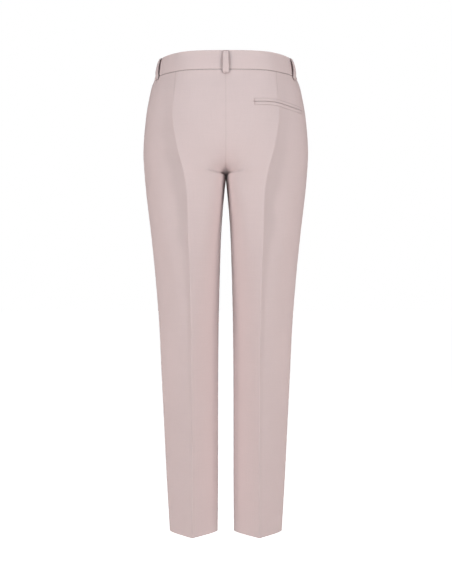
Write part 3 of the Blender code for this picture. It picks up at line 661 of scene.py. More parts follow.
def link(name, mesh):
    item = bpy.data.objects.new(name, mesh)
    bpy.context.scene.collection.objects.link(item)
    return item


def edge_round(distance, radius):
    """Part of its thickness that a sheet has at this distance from its rounded edge."""
    part = np.clip(distance / radius, 0.0, 1.0)
    return np.sqrt(1.0 - (1.0 - part) ** 2)


def signed_volume(points, quads):
    a, b, c, d = (points[quads[:, k]] for k in range(4))
    return (np.einsum("ij,ij->i", a, np.cross(b, c)) + np.einsum("ij,ij->i", a, np.cross(c, d))).sum()


def add_sheet(name, middle, half, flat_uv, marks, material, mirrored=False):
    """A closed sheet about a grid of points in millimetres.

    half is half its thickness at each point and 0 along the border, where both faces meet.
    flat_uv is each point's place on the flat cloth, and marks are named values per point.
    """
    rows, columns = half.shape
    out = unit(np.cross(np.gradient(middle, axis=1), np.gradient(middle, axis=0)))
    front = middle + out * half[..., None]
    behind = middle - out * half[..., None]
    index = np.arange(rows * columns).reshape(rows, columns)
    back_index = index.copy()
    back_index[1:-1, 1:-1] = rows * columns + np.arange((rows - 2) * (columns - 2)).reshape(rows - 2, -1)

    def both(values):
        return np.concatenate([values.reshape(rows * columns, -1),
                               values[1:-1, 1:-1].reshape((rows - 2) * (columns - 2), -1)])

    points = np.concatenate([front.reshape(-1, 3), behind[1:-1, 1:-1].reshape(-1, 3)])
    if mirrored:
        points[:, 0] = -points[:, 0]

    def quads(grid):
        return np.stack([grid[:-1, :-1], grid[:-1, 1:], grid[1:, 1:], grid[1:, :-1]], -1).reshape(-1, 4)

    faces = np.concatenate([quads(index), quads(back_index)[:, ::-1]])
    if signed_volume(points, faces) < 0:
        faces = faces[:, ::-1]
    mesh = bpy.data.meshes.new(name)
    mesh.from_pydata((points * MM).tolist(), [], faces.tolist())
    uv = both(flat_uv) * MM
    layer = mesh.uv_layers.new(name="flat_cloth")
    layer.data.foreach_set("uv", uv[faces.reshape(-1)].astype(np.float32).reshape(-1))
    for mark, values in marks.items():
        attribute = mesh.attributes.new(mark, "FLOAT", "POINT")
        attribute.data.foreach_set("value", both(np.clip(values, 0.0, 1.0)).astype(np.float32).reshape(-1))
    mesh.shade_smooth()
    mesh.materials.append(material)
    mesh.validate()
    return link(name, mesh)


# Rings of one stitch: the part of its length, its width and its lift, in thread radii
THREAD_RINGS = ((0.0, 0.0, -0.6), (0.1, 0.75, -0.1), (0.5, 1.0, 0.45), (0.9, 0.75, -0.1), (1.0, 0.0, -0.6))
THREAD_SIDES = 6


def add_threads(name, stitches, radius, material):
    """Short rounded threads: each stitch is (start, end, direction out), in millimetres."""
    sides = THREAD_SIDES
    points, faces = [], []
    for start, end, out in stitches:
        along = unit(end - start)
        out = unit(out - along * np.dot(out, along))
        aside = np.cross(along, out)
        first = len(points)
        for part, width, lift in THREAD_RINGS:
            centre = start + (end - start) * part + out * radius * lift
            if width == 0.0:
                points.append(centre)
                continue
            for k in range(sides):
                angle = 2 * math.pi * k / sides
                points.append(centre + radius * width * (out * math.cos(angle) + aside * math.sin(angle)))
        last = len(points) - 1
        for k in range(sides):
            after = (k + 1) % sides
            faces.append((first, first + 1 + after, first + 1 + k))
            for ring in range(2):
                a, b = first + 1 + ring * sides + k, first + 1 + ring * sides + after
                faces.append((a, b, b + sides, a + sides))
            faces.append((first + 1 + 2 * sides + k, first + 1 + 2 * sides + after, last))
    mesh = bpy.data.meshes.new(name)
    mesh.from_pydata([tuple(point * MM) for point in points], [], faces)
    recalculate(mesh)
    mesh.shade_smooth()
    mesh.materials.append(material)
    return link(name, mesh)


def cut_away(context, piece, tool):
    """Takes the tool's shape out of a piece, and then the tool away."""
    cut = piece.modifiers.new("cut", "BOOLEAN")
    cut.operation = "DIFFERENCE"
    cut.solver = "EXACT"
    cut.object = tool
    context.view_layer.objects.active = piece
    bpy.ops.object.modifier_apply(modifier=cut.name)
    bpy.data.objects.remove(tool, do_unlink=True)


def recalculate(mesh):
    """Turns all faces of a mesh outwards."""
    work = bmesh.new()
    work.from_mesh(mesh)
    bmesh.ops.recalc_face_normals(work, faces=work.faces)
    work.to_mesh(mesh)
    work.free()


def dress(piece, slot, *nodes):
    """A finished piece rides on the body and stands for its nodes. The slot is not used."""
    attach(piece, "root")
    if nodes:
        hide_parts(*nodes)
    return piece


# ---------------------------------------------------------------- materials

def new_group(name, inputs, outputs):
    """An empty shader node group with named sockets."""
    group = bpy.data.node_groups.new(name, "ShaderNodeTree")
    for label, kind, value in inputs:
        socket = group.interface.new_socket(name=label, in_out="INPUT", socket_type=kind)
        if value is not None:
            socket.default_value = value
    for label, kind in outputs:
        group.interface.new_socket(name=label, in_out="OUTPUT", socket_type=kind)
    return group, group.nodes.new("NodeGroupInput"), group.nodes.new("NodeGroupOutput")


def math_node(tree, operation, *values, clamp=False):
    """A Math node; each value is a number or a socket."""
    node = tree.nodes.new("ShaderNodeMath")
    node.operation = operation
    node.use_clamp = clamp
    for socket, value in zip(node.inputs, values):
        if isinstance(value, (int, float)):
            socket.default_value = value
        else:
            tree.links.new(value, socket)
    return node.outputs[0]


def weave_group():
    """Fine twill: each thread passes over two and under one, a step further in each row."""
    group, start, end = new_group(
        "Fine twill",
        [("Vector", "NodeSocketVector", None), ("Pitch", "NodeSocketFloat", 0.00045)],
        [("Height", "NodeSocketFloat"), ("Tone", "NodeSocketFloat")])
    parts = group.nodes.new("ShaderNodeSeparateXYZ")
    group.links.new(start.outputs["Vector"], parts.inputs[0])
    across = math_node(group, "DIVIDE", parts.outputs["X"], start.outputs["Pitch"])
    up = math_node(group, "DIVIDE", parts.outputs["Y"], start.outputs["Pitch"])
    step = math_node(group, "ADD", math_node(group, "FLOOR", across), math_node(group, "FLOOR", up))
    third = math_node(group, "FLOORED_MODULO", step, 3.0)
    warp_up = math_node(group, "LESS_THAN", third, 1.5)
    warp = math_node(group, "SINE", math_node(group, "MULTIPLY", math_node(group, "FRACT", across), math.pi))
    weft = math_node(group, "SINE", math_node(group, "MULTIPLY", math_node(group, "FRACT", up), math.pi))
    mix = group.nodes.new("ShaderNodeMix")
    group.links.new(warp_up, mix.inputs["Factor"])
    group.links.new(math_node(group, "MULTIPLY", weft, 0.8), mix.inputs["A"])
    group.links.new(warp, mix.inputs["B"])
    group.links.new(mix.outputs[0], end.inputs["Height"])
    group.links.new(mix.outputs[0], end.inputs["Tone"])
    return group


def clouding_group():
    """Soft uneven shade over the cloth, at a large and a small scale."""
    group, start, end = new_group(
        "Soft clouding",
        [("Vector", "NodeSocketVector", None), ("Large", "NodeSocketFloat", 9.0),
         ("Small", "NodeSocketFloat", 260.0)],
        [("Shade", "NodeSocketFloat"), ("Speck", "NodeSocketFloat")])
    for label, output, detail in (("Large", "Shade", 3.0), ("Small", "Speck", 2.0)):
        noise = group.nodes.new("ShaderNodeTexNoise")
        noise.inputs["Detail"].default_value = detail
        noise.inputs["Roughness"].default_value = 0.55
        group.links.new(start.outputs["Vector"], noise.inputs["Vector"])
        group.links.new(start.outputs[label], noise.inputs["Scale"])
        group.links.new(noise.outputs["Fac"], end.inputs[output])
    return group


def streaks_group():
    """Faint streaks where a thread of the warp or the weft is thicker."""
    group, start, end = new_group(
        "Thread streaks",
        [("Vector", "NodeSocketVector", None), ("Fine", "NodeSocketFloat", 700.0),
         ("Long", "NodeSocketFloat", 22.0)],
        [("Streak", "NodeSocketFloat")])
    streaks = []
    for along in (0, 1):
        scale = group.nodes.new("ShaderNodeCombineXYZ")
        group.links.new(start.outputs["Long"], scale.inputs[along])
        group.links.new(start.outputs["Fine"], scale.inputs[1 - along])
        stretch = group.nodes.new("ShaderNodeVectorMath")
        stretch.operation = "MULTIPLY"
        group.links.new(start.outputs["Vector"], stretch.inputs[0])
        group.links.new(scale.outputs[0], stretch.inputs[1])
        noise = group.nodes.new("ShaderNodeTexNoise")
        noise.inputs["Scale"].default_value = 1.0
        noise.inputs["Detail"].default_value = 1.0
        group.links.new(stretch.outputs[0], noise.inputs["Vector"])
        streaks.append(noise.outputs["Fac"])
    both = math_node(group, "MULTIPLY", math_node(group, "ADD", *streaks), 0.5)
    group.links.new(both, end.inputs["Streak"])
    return group


def rubbed_group():
    """Fine scuffs for hard trims: roughness that rises where the surface is rubbed."""
    group, start, end = new_group(
        "Rubbed finish",
        [("Vector", "NodeSocketVector", None), ("Scale", "NodeSocketFloat", 300.0),
         ("Low", "NodeSocketFloat", 0.25), ("High", "NodeSocketFloat", 0.45)],
        [("Roughness", "NodeSocketFloat"), ("Mask", "NodeSocketFloat")])
    noise = group.nodes.new("ShaderNodeTexNoise")
    noise.inputs["Detail"].default_value = 4.0
    noise.inputs["Distortion"].default_value = 0.6
    group.links.new(start.outputs["Vector"], noise.inputs["Vector"])
    group.links.new(start.outputs["Scale"], noise.inputs["Scale"])
    spread = group.nodes.new("ShaderNodeMapRange")
    group.links.new(noise.outputs["Fac"], spread.inputs["Value"])
    group.links.new(start.outputs["Low"], spread.inputs["To Min"])
    group.links.new(start.outputs["High"], spread.inputs["To Max"])
    group.links.new(spread.outputs[0], end.inputs["Roughness"])
    group.links.new(noise.outputs["Fac"], end.inputs["Mask"])
    return group


def group_named(name):
    """A shared node group, made the first time that it is asked for."""
    makers = {"Fine twill": weave_group, "Soft clouding": clouding_group,
              "Thread streaks": streaks_group, "Rubbed finish": rubbed_group}
    return bpy.data.node_groups.get(name) or makers[name]()


def place_group(tree, name, **values):
    node = tree.nodes.new("ShaderNodeGroup")
    node.node_tree = group_named(name)
    for label, value in values.items():
        node.inputs[label].default_value = value
    return node


def new_material(name, colour, roughness, metallic=0.0):
    material = bpy.data.materials.new(name)
    material.use_nodes = True
    shader = material.node_tree.nodes["Principled BSDF"]
    shader.inputs["Base Color"].default_value = (*colour, 1.0)
    shader.inputs["Roughness"].default_value = roughness
    shader.inputs["Metallic"].default_value = metallic
    return material, material.node_tree, shader


def mix_colour(tree, factor, a, b):
    """A Mix node between two colours or colour sockets."""
    mix = tree.nodes.new("ShaderNodeMix")
    mix.data_type = "RGBA"
    tree.links.new(factor, mix.inputs["Factor"])
    for label, value in (("A", a), ("B", b)):
        socket = next(s for s in mix.inputs if s.name == label and s.type == "RGBA")
        if isinstance(value, tuple):
            socket.default_value = (*value, 1.0)
        else:
            tree.links.new(value, socket)
    return next(s for s in mix.outputs if s.type == "RGBA")


def shaded(colour, factor):
    return tuple(min(max(channel * factor, 0.0), 1.0) for channel in colour)


def span(tree, value, low, high, from_low=0.0, from_high=1.0):
    """A Map Range node that spreads a value between two numbers."""
    node = tree.nodes.new("ShaderNodeMapRange")
    node.inputs["From Min"].default_value = from_low
    node.inputs["From Max"].default_value = from_high
    node.inputs["To Min"].default_value = low
    node.inputs["To Max"].default_value = high
    tree.links.new(value, node.inputs["Value"])
    return node.outputs[0]


def mark_read(tree, mark):
    """The values of a sheet's named mark."""
    node = tree.nodes.new("ShaderNodeAttribute")
    node.attribute_name = mark
    return node.outputs["Fac"]


def woven_material(name, colour, settings, pitch, sheen, bump):
    """Woven cloth with clouding, a painted highlight and less roughness along pressed edges, and painted
    shade at seams, edges and beside the creases.
    """
    material, tree, shader = new_material(name, colour, settings.roughness)
    shader.inputs["Sheen Weight"].default_value = sheen
    shader.inputs["Sheen Roughness"].default_value = 0.45
    shader.inputs["Specular IOR Level"].default_value = 0.35
    flat = tree.nodes.new("ShaderNodeUVMap")
    flat.uv_map = "flat_cloth"
    weave = place_group(tree, "Fine twill", Pitch=pitch)
    cloud = place_group(tree, "Soft clouding", Large=7.0, Small=420.0)
    tree.links.new(flat.outputs[0], weave.inputs["Vector"])
    tree.links.new(flat.outputs[0], cloud.inputs["Vector"])
    soft = mix_colour(tree, span(tree, cloud.outputs["Shade"], 0.0, 1.0, 0.3, 0.7),
                      shaded(colour, 0.975), shaded(colour, 1.02))
    speckled = mix_colour(tree, span(tree, cloud.outputs["Speck"], 0.0, 0.35, 0.3, 0.75),
                          soft, shaded(colour, 0.93))
    streaks = place_group(tree, "Thread streaks")
    tree.links.new(flat.outputs[0], streaks.inputs["Vector"])
    slubbed = mix_colour(tree, span(tree, streaks.outputs["Streak"], 0.0, 0.4, 0.42, 0.6),
                         speckled, shaded(colour, 0.93))
    threads = mix_colour(tree, span(tree, weave.outputs["Tone"], 0.30, 0.0), slubbed, shaded(colour, 0.84))
    pressed, tucked, dull = (mark_read(tree, mark) for mark in ("pressed", "tucked", "painted_crease_shade"))
    # Painted shade in a band outside the crease, then a painted highlight along pressed edges, which are also
    # less rough, then painted shade at seams, edges and under parts
    with_crease_shade = mix_colour(tree, span(tree, dull, 0.0, settings.painted_crease_shade_amount), threads, shaded(colour, 0.75))
    light = mix_colour(tree, span(tree, pressed, 0.0, 0.45), with_crease_shade, shaded(colour, 1.10))
    final = mix_colour(tree, span(tree, tucked, 0.0, 0.85), light, shaded(colour, 0.55))
    tree.links.new(final, shader.inputs["Base Color"])
    uneven = span(tree, cloud.outputs["Speck"], settings.roughness - 0.06, settings.roughness + 0.08)
    shine = math_node(tree, "MULTIPLY", pressed, 0.12)
    tree.links.new(math_node(tree, "SUBTRACT", uneven, shine), shader.inputs["Roughness"])
    height = math_node(tree, "ADD", weave.outputs["Height"],
                       math_node(tree, "MULTIPLY", cloud.outputs["Speck"], 0.8))
    raise_threads = tree.nodes.new("ShaderNodeBump")
    raise_threads.inputs["Strength"].default_value = bump
    raise_threads.inputs["Distance"].default_value = 0.00012
    tree.links.new(height, raise_threads.inputs["Height"])
    tree.links.new(raise_threads.outputs[0], shader.inputs["Normal"])
    return material


def cloth_material(context):
    settings = context.scene.trousers_cloth
    return bpy.data.materials.get("fine_twill_cloth") or woven_material(
        "fine_twill_cloth", tuple(settings.colour), settings, settings.weave_pitch, settings.sheen, 0.35)


def tape_material(context):
    settings = context.scene.trousers_cloth
    return bpy.data.materials.get("woven_tape") or woven_material(
        "woven_tape", tuple(context.scene.trousers_trims.tape_colour), settings, 0.0006, 0.1, 0.6)


def thread_material(context):
    """Twisted sewing thread in the cloth's colour."""
    found = bpy.data.materials.get("sewing_thread")
    if found:
        return found
    colour = tuple(context.scene.trousers_trims.thread_colour)
    material, tree, shader = new_material("sewing_thread", colour, 0.5)
    place = tree.nodes.new("ShaderNodeTexCoord")
    twist = tree.nodes.new("ShaderNodeTexWave")
    twist.inputs["Scale"].default_value = 1400.0
    twist.inputs["Distortion"].default_value = 1.5
    twist.bands_direction = "DIAGONAL"
    tree.links.new(place.outputs["Object"], twist.inputs["Vector"])
    tree.links.new(mix_colour(tree, twist.outputs["Fac"], shaded(colour, 0.86), shaded(colour, 1.05)),
                   shader.inputs["Base Color"])
    tree.links.new(span(tree, twist.outputs["Fac"], 0.42, 0.62), shader.inputs["Roughness"])
    return material


def button_material(context):
    """Cloudy resin, tone on tone with the cloth."""
    colour = tuple(context.scene.trousers_trims.button_colour)
    material, tree, shader = new_material("button_resin", colour, 0.25)
    shader.inputs["Coat Weight"].default_value = 0.25
    shader.inputs["Coat Roughness"].default_value = 0.12
    place = tree.nodes.new("ShaderNodeTexCoord")
    cloud = place_group(tree, "Soft clouding", Large=160.0, Small=900.0)
    rub = place_group(tree, "Rubbed finish", Scale=700.0, Low=0.18, High=0.38)
    tree.links.new(place.outputs["Object"], cloud.inputs["Vector"])
    tree.links.new(place.outputs["Object"], rub.inputs["Vector"])
    tree.links.new(mix_colour(tree, span(tree, cloud.outputs["Shade"], 0.0, 1.0, 0.3, 0.7),
                              shaded(colour, 0.88), shaded(colour, 1.1)), shader.inputs["Base Color"])
    tree.links.new(rub.outputs["Roughness"], shader.inputs["Roughness"])
    return material


def metal_material(context):
    """Brushed zip metal with rubbed patches."""
    colour = tuple(context.scene.trousers_trims.metal_colour)
    material, tree, shader = new_material("zip_metal", colour, 0.3, 1.0)
    place = tree.nodes.new("ShaderNodeTexCoord")
    stretch = tree.nodes.new("ShaderNodeMapping")
    stretch.inputs["Scale"].default_value = (1.0, 1.0, 0.06)
    rub = place_group(tree, "Rubbed finish", Scale=2500.0, Low=0.24, High=0.46)
    tree.links.new(place.outputs["Object"], stretch.inputs["Vector"])
    tree.links.new(stretch.outputs[0], rub.inputs["Vector"])
    tree.links.new(rub.outputs["Roughness"], shader.inputs["Roughness"])
    tree.links.new(mix_colour(tree, rub.outputs["Mask"], shaded(colour, 0.85), shaded(colour, 1.1)),
                   shader.inputs["Base Color"])
    brushed = tree.nodes.new("ShaderNodeBump")
    brushed.inputs["Strength"].default_value = 0.2
    brushed.inputs["Distance"].default_value = 0.00003
    tree.links.new(rub.outputs["Mask"], brushed.inputs["Height"])
    tree.links.new(brushed.outputs[0], shader.inputs["Normal"])
    return material


# ---------------------------------------------------------------- the four cloth panels

# Places of a panel's columns and rows: from its raw edge, its seam, its crease and a lip's edge
RAW_EDGE = (0.0, 0.07, 0.2, 0.5)
NO_EDGE = 9.0
NEAR_EDGE = (0.6, 1.5, 3.0, 5.5, 9.0)
NEAR_CREASE = (-9.0, -5.5, -3.0, -1.6, -0.8, 0.0, 0.8, 1.6, 3.0, 5.5, 9.0)
NEAR_LIP = (-1.6, -0.8, -0.3, 0.3, 0.8, 1.6)
SEAM_HALF_GAP = 0.03
MEET_END = (2.0, 14.0)
HEM_OVER_SEAM = (11.0, 17.0)
FOLD_CLEAR = 0.05
HEM_CLEAR = 0.12
INNER_CELLS = 17
OUTER_CELLS = 20
FOLD_ANGLES = (30, 60, 90, 120, 150)


def turned_edge(thickness, allowance):
    """(length, depth, distance from the raw edge) of a turned-in seam allowance, raw edge first."""
    half = thickness / 2
    radius = half + FOLD_CLEAR
    reach = radius / 2
    start = SEAM_HALF_GAP + half + reach
    end = start + allowance
    spots = [(end - edge, half + 2 * radius, edge) for edge in RAW_EDGE]
    spots += [(start + allowance * part, half + 2 * radius, NO_EDGE)
              for part in (0.75, 0.5, 0.25, 0.08, 0.0)]
    for angle in FOLD_ANGLES:
        swing = math.radians(angle)
        spots.append((start - reach * math.sin(swing), half + radius * (1 + math.cos(swing)), NO_EDGE))
    spots.append((start, half, NO_EDGE))
    return spots


def plain_edge(thickness):
    """The same for an edge that isn't turned in."""
    return [(SEAM_HALF_GAP + edge, thickness / 2, edge) for edge in RAW_EDGE]


def panel_columns(inner_edge, outer_edge, to_crease, to_seam):
    """Length, depth and raw-edge distance of each column of one row."""
    start, finish = inner_edge[-1][0], outer_edge[-1][0]
    main = [start + near for near in NEAR_EDGE]
    main += list(np.linspace(main[-1], to_crease + NEAR_CREASE[0], INNER_CELLS + 1)[1:-1])
    main += [to_crease + near for near in NEAR_CREASE]
    last = [to_seam - finish - near for near in reversed(NEAR_EDGE)]
    main += list(np.linspace(main[-1], last[0], OUTER_CELLS + 1)[1:-1])
    main += last
    depth = inner_edge[-1][1]
    spots = list(inner_edge) + [(length, depth, NO_EDGE) for length in main]
    spots += [(to_seam - length, deep, edge) for length, deep, edge in reversed(outer_edge)]
    return np.array(spots)


def panel_rows(thickness, hem_radius):
    """Height, hem fold angle part and raw-edge distance of each row, from the hem's raw edge up."""
    top_of_turn = HEM + HEM_TURN
    rows = [(top_of_turn - edge, 0.0, edge) for edge in RAW_EDGE]
    bottom = HEM + thickness / 2
    above_fold = bottom + hem_radius + 1.5
    rows += [(height, 0.0, NO_EDGE) for height in np.linspace(top_of_turn - 4.0, above_fold, 8)]
    rows += [(bottom, angle, NO_EDGE) for angle in (0,) + FOLD_ANGLES + (180,)]
    heights = list(np.linspace(above_fold, CROTCH - 40.0, 150))
    heights += list(np.linspace(CROTCH - 40.0, -92.0, 42)[1:])
    for centre in (POCKET_FOOT, POCKET_MIDDLE, POCKET_TOP):
        heights += [centre + step for step in NEAR_LIP]
    heights += [POCKET_FOOT + 3.2, POCKET_MIDDLE + 2.9, -89.9]
    heights += list(np.linspace(-72.2, -24.0, 13)) + [-21.5, -20.0, -19.0]
    rows += [(height, 180.0, NO_EDGE) for height in sorted(heights)]
    rows += [(PANEL_TOP - edge, 180.0, edge) for edge in reversed(RAW_EDGE)]
    return rows


def panel_grid(cloth, side, hand):
    """Middle surface, half thickness, flat place and marks of one panel, on the wearer's left."""
    thickness = cloth.thickness / MM
    half = thickness / 2
    allowance = cloth.seam_allowance / MM
    inner_edge = turned_edge(thickness, allowance) if side is BACK_SIDE else plain_edge(thickness)
    outer_edge = turned_edge(thickness, allowance)
    small, large = half + FOLD_CLEAR, half * 2 + HEM_CLEAR
    base, angle, raw = np.array(panel_rows(thickness, large)).T
    lengths = run_round(side, base)
    to_crease, to_seam = lengths[:, CREASE_SAMPLE, None], lengths[:, -1, None]
    spots = np.array([panel_columns(inner_edge, outer_edge, crease, seam)
                      for crease, seam in zip(to_crease[:, 0], to_seam[:, 0])])
    run, depth, edge = spots[..., 0], spots[..., 1], spots[..., 2]
    base, angle, raw = base[:, None], angle[:, None], raw[:, None]
    # the hem's fold is wider over the turned-in seams
    hem_radius = small + (large - small) * (1.0 - smooth(np.minimum(run, to_seam - run), *HEM_OVER_SEAM))
    swing = np.radians(angle)
    height = np.where(base == HEM + half, base + hem_radius * (1.0 - np.sin(swing)), base)
    depth = depth + hem_radius * (1.0 + np.cos(swing))
    pocket_side = side is BACK_SIDE and hand == RIGHT
    fall = pocket_fall(height, run) if pocket_side else 0.0
    across = np.array([np.interp(row, length, SAMPLES) for row, length in zip(run, lengths)])
    point = soft_surface(side, height - fall, across, cloth.crease_round / MM)
    out = outward(side, height - fall, across)
    lift = relief(cloth, side, hand, height, run, to_crease, to_seam)
    if pocket_side:
        lift = lift + pocket_relief(height, run)
    lapped = np.zeros(len(base), dtype=bool)
    if side is FRONT_SIDE:
        lap_over(point, out, base[:, 0], run, hand, lapped)
        if hand == LEFT:
            level = smooth(height, FLY_SOFT_FOOT, FLY_NARROW_FOOT)
            dip = (1.0 - smooth(point[..., 0], FLY_DIP_FULL, FLY_DIP_NONE)) * level
            lift = lift * (1.0 - dip) - FLY_LAYER * dip
    point = point - out * (depth - lift)[..., None]
    # above the crotch the two halves meet at the garment's middle
    meets = (base[:, 0] > CROTCH) & ~lapped
    nearest = np.min(np.where(run < 3.0, point[..., 0], np.inf), axis=1)
    pull = np.where(meets, nearest - SEAM_HALF_GAP, 0.0)[:, None]
    point[..., 0] -= pull * (1.0 - smooth(run, *MEET_END))
    clear_middle = np.maximum(point[..., 0], SEAM_HALF_GAP + half * 0.5 * (edge > 0.4))
    point[..., 0] = np.where(lapped[:, None], point[..., 0], clear_middle)
    halves = half * edge_round(edge, 0.5) * edge_round(raw, 0.5)
    unrolled = run - to_crease
    hem_part = np.where(angle >= 180.0, base, 2 * HEM - base)
    flat = pair(unrolled, hem_part)
    fold = DEPTH_AT[side.name]["fold"](base) / FULL_PRESS
    # Painted highlight on the turned-up hem; painted shade along the seams, under the waistband, just outside
    # the crease and along the back's dart
    pressed = 0.35 * (angle < 180.0) * np.ones_like(run)
    seam_line = hump(np.minimum(np.abs(run), np.abs(to_seam - run)), 0.9)
    tucked = 0.27 * seam_line + 0.9 * hump(PANEL_TOP - height, 1.0)
    tucked = tucked + 0.10 * fold * hump(unrolled - 1.4, 1.6)
    if side is BACK_SIDE:
        tucked = tucked + 0.5 * hump(unrolled, 0.7) * (1.0 - smooth(-height, 50.0, 80.0))
    # Painted shade in an uneven band outside the crease
    dull = painted_crease_shade(hand, unrolled, height)
    return point, halves, flat, {"pressed": pressed, "tucked": tucked, "painted_crease_shade": dull}


def lap_over(point, out, base, run, hand, lapped):
    """Spreads a front's first columns over its lap past the garment's middle."""
    reach = (FLY_UNDERLAP if hand == LEFT else FLY_OVERLAP) * smooth(base, FLY_NARROW_FOOT, FLY_FOOT)
    rows = np.flatnonzero(reach > 0.0)
    lapped[rows] = True
    part = np.clip(1.0 - run[rows] / LAP_SPREAD, 0.0, 1.0)
    x = point[rows, :, 0] - (reach[rows, None] + OUTLINE[0].inner_x) * part
    across = across_at_x(FRONT_SIDE, base[rows], np.abs(x))
    there = surface(FRONT_SIDE, base[rows, None], across)
    way = outward(FRONT_SIDE, base[rows, None], across)
    sign = np.where(x < 0, -1.0, 1.0)
    there[..., 0] = x
    way[..., 0] *= sign
    near = (run[rows] < LAP_SPREAD)[..., None]
    point[rows] = np.where(near, there, point[rows])
    out[rows] = np.where(near, way, out[rows])


def on_panel(cloth, side, hand, heights, xs):
    """Points on a panel's outer face with its relief, and the ways out of it."""
    across = across_at_x(side, heights, xs[:, None])[:, 0]
    lengths = run_round(side, heights)
    run = np.array([np.interp(place, SAMPLES, length) for place, length in zip(across, lengths)])
    point = surface(side, heights, across)
    out = outward(side, heights, across)
    lift = relief(cloth, side, hand, heights, run, lengths[:, CREASE_SAMPLE], lengths[:, -1])
    point = point + out * lift[:, None]
    turn = np.array([hand, 1.0, 1.0])
    return point * turn, out * turn


# ---------------------------------------------------------------- waistband

def band_path(height, end_x):
    """Points round half the waistband, from the back's middle to end_x past the front's."""
    back = surface(BACK_SIDE, height, np.linspace(0.0, 2.0, 161))
    front = surface(FRONT_SIDE, height, np.linspace(2.0, 0.0, 161))
    end = across_at_x(FRONT_SIDE, [height], [[end_x]])[0, 0]
    lap = surface(FRONT_SIDE, height, np.linspace(0.0, end, 41))
    lap[:, 0] = -lap[:, 0]
    points = np.concatenate([back, front[1:], lap])
    points = points[np.concatenate([[True], np.linalg.norm(np.diff(points, axis=0), axis=1) > 1e-4])]
    return points


def band_grid(hand):
    """Middle surface, half thickness, flat place and marks of half the waistband."""
    half = BAND_CLOTH / 2
    rise = BAND_TOP - BAND_SEAM
    rows = grid_lines(BAND_SEAM, BAND_TOP, BAND_ENDS, np.linspace(BAND_SEAM + 4.5, BAND_TOP - 4.5, 9))
    middle, halves, flats, pressed, tucked = [], [], [], [], []
    for height in rows:
        points = band_path(height, BAND_UNDERLAP if hand == LEFT else FLY_OVERLAP)
        lengths = np.concatenate([[0.0], np.cumsum(np.linalg.norm(np.diff(points, axis=0), axis=1))])
        total = lengths[-1]
        inner = np.linspace(BAND_ENDS[-1], total - BAND_ENDS[-1], BAND_CELLS + 1)[1:-1]
        run = grid_lines(0.0, total, BAND_ENDS, inner)
        point, ahead, behind = (
            np.stack([np.interp(run + step, lengths, points[:, k]) for k in range(3)], -1)
            for step in (0.0, 0.5, -0.5))
        along = unit(ahead - behind)
        out = np.stack([-along[:, 1], along[:, 0], np.zeros(len(run))], -1)
        dip = np.zeros(len(run))
        if hand == LEFT:
            front = point[:, 1] < 0
            dip = BAND_LAYER * (1.0 - smooth(point[:, 0], BAND_DIP_FULL, BAND_DIP_NONE)) * front
        level = (height - BAND_SEAM) / rise
        bulge = BAND_BULGE * math.sin(math.pi * level)
        wave = ripple(run + 0.4 * height, BAND_WAVE, hand) * math.sin(math.pi * level)
        pucker = ripple(run, BAND_PUCKER, hand) * math.exp(-(height - BAND_SEAM) / BAND_PUCKER_REACH)
        still = np.clip(run / BAND_STILL, 0.0, 1.0) * np.clip((total - run) / BAND_STILL, 0.0, 1.0)
        still = still * (dip < 0.01)
        lift = BAND_PROUD - half + (bulge + wave + pucker) * still - dip
        point = point + out * lift[:, None]
        point[:, 0] = np.where(run < 1.0, np.maximum(point[:, 0], SEAM_HALF_GAP), point[:, 0])
        middle.append(point)
        edge = np.minimum(run, total - run)
        to_border = min(height - BAND_SEAM, BAND_TOP - height)
        halves.append(half * edge_round(edge, half) * edge_round(np.full(len(run), to_border), BAND_EDGE))
        flats.append(pair(run, height))
        # Painted highlight along the band's top edge; painted shade along its seam and at its ends
        pressed.append(np.full(len(run), hump(BAND_TOP - height, 2.0)))
        tucked.append(0.8 * hump(height - BAND_SEAM, 0.7) + 0.3 * hump(edge, 0.8))
    return (np.array(middle), np.array(halves), np.array(flats),
            {"pressed": np.array(pressed), "tucked": np.array(tucked)})


def near_middle(heights, xs, depths=0.0):
    """Points of the front near the garment's middle, on either half, sunk below its face."""
    heights, xs, depths = np.broadcast_arrays(np.atleast_1d(np.asarray(heights, dtype=float)), xs, depths)
    across = across_at_x(FRONT_SIDE, heights, np.abs(xs)[:, None])[:, 0]
    point = surface(FRONT_SIDE, heights, across)
    out = outward(FRONT_SIDE, heights, across)
    out[:, 0] = np.where(np.abs(xs) < MIDDLE_STRIP, 0.0, out[:, 0])
    point = point - unit(out) * depths[:, None]
    point[:, 0] = np.where(xs < 0, -point[:, 0], point[:, 0])
    return point


# ---------------------------------------------------------------- settings

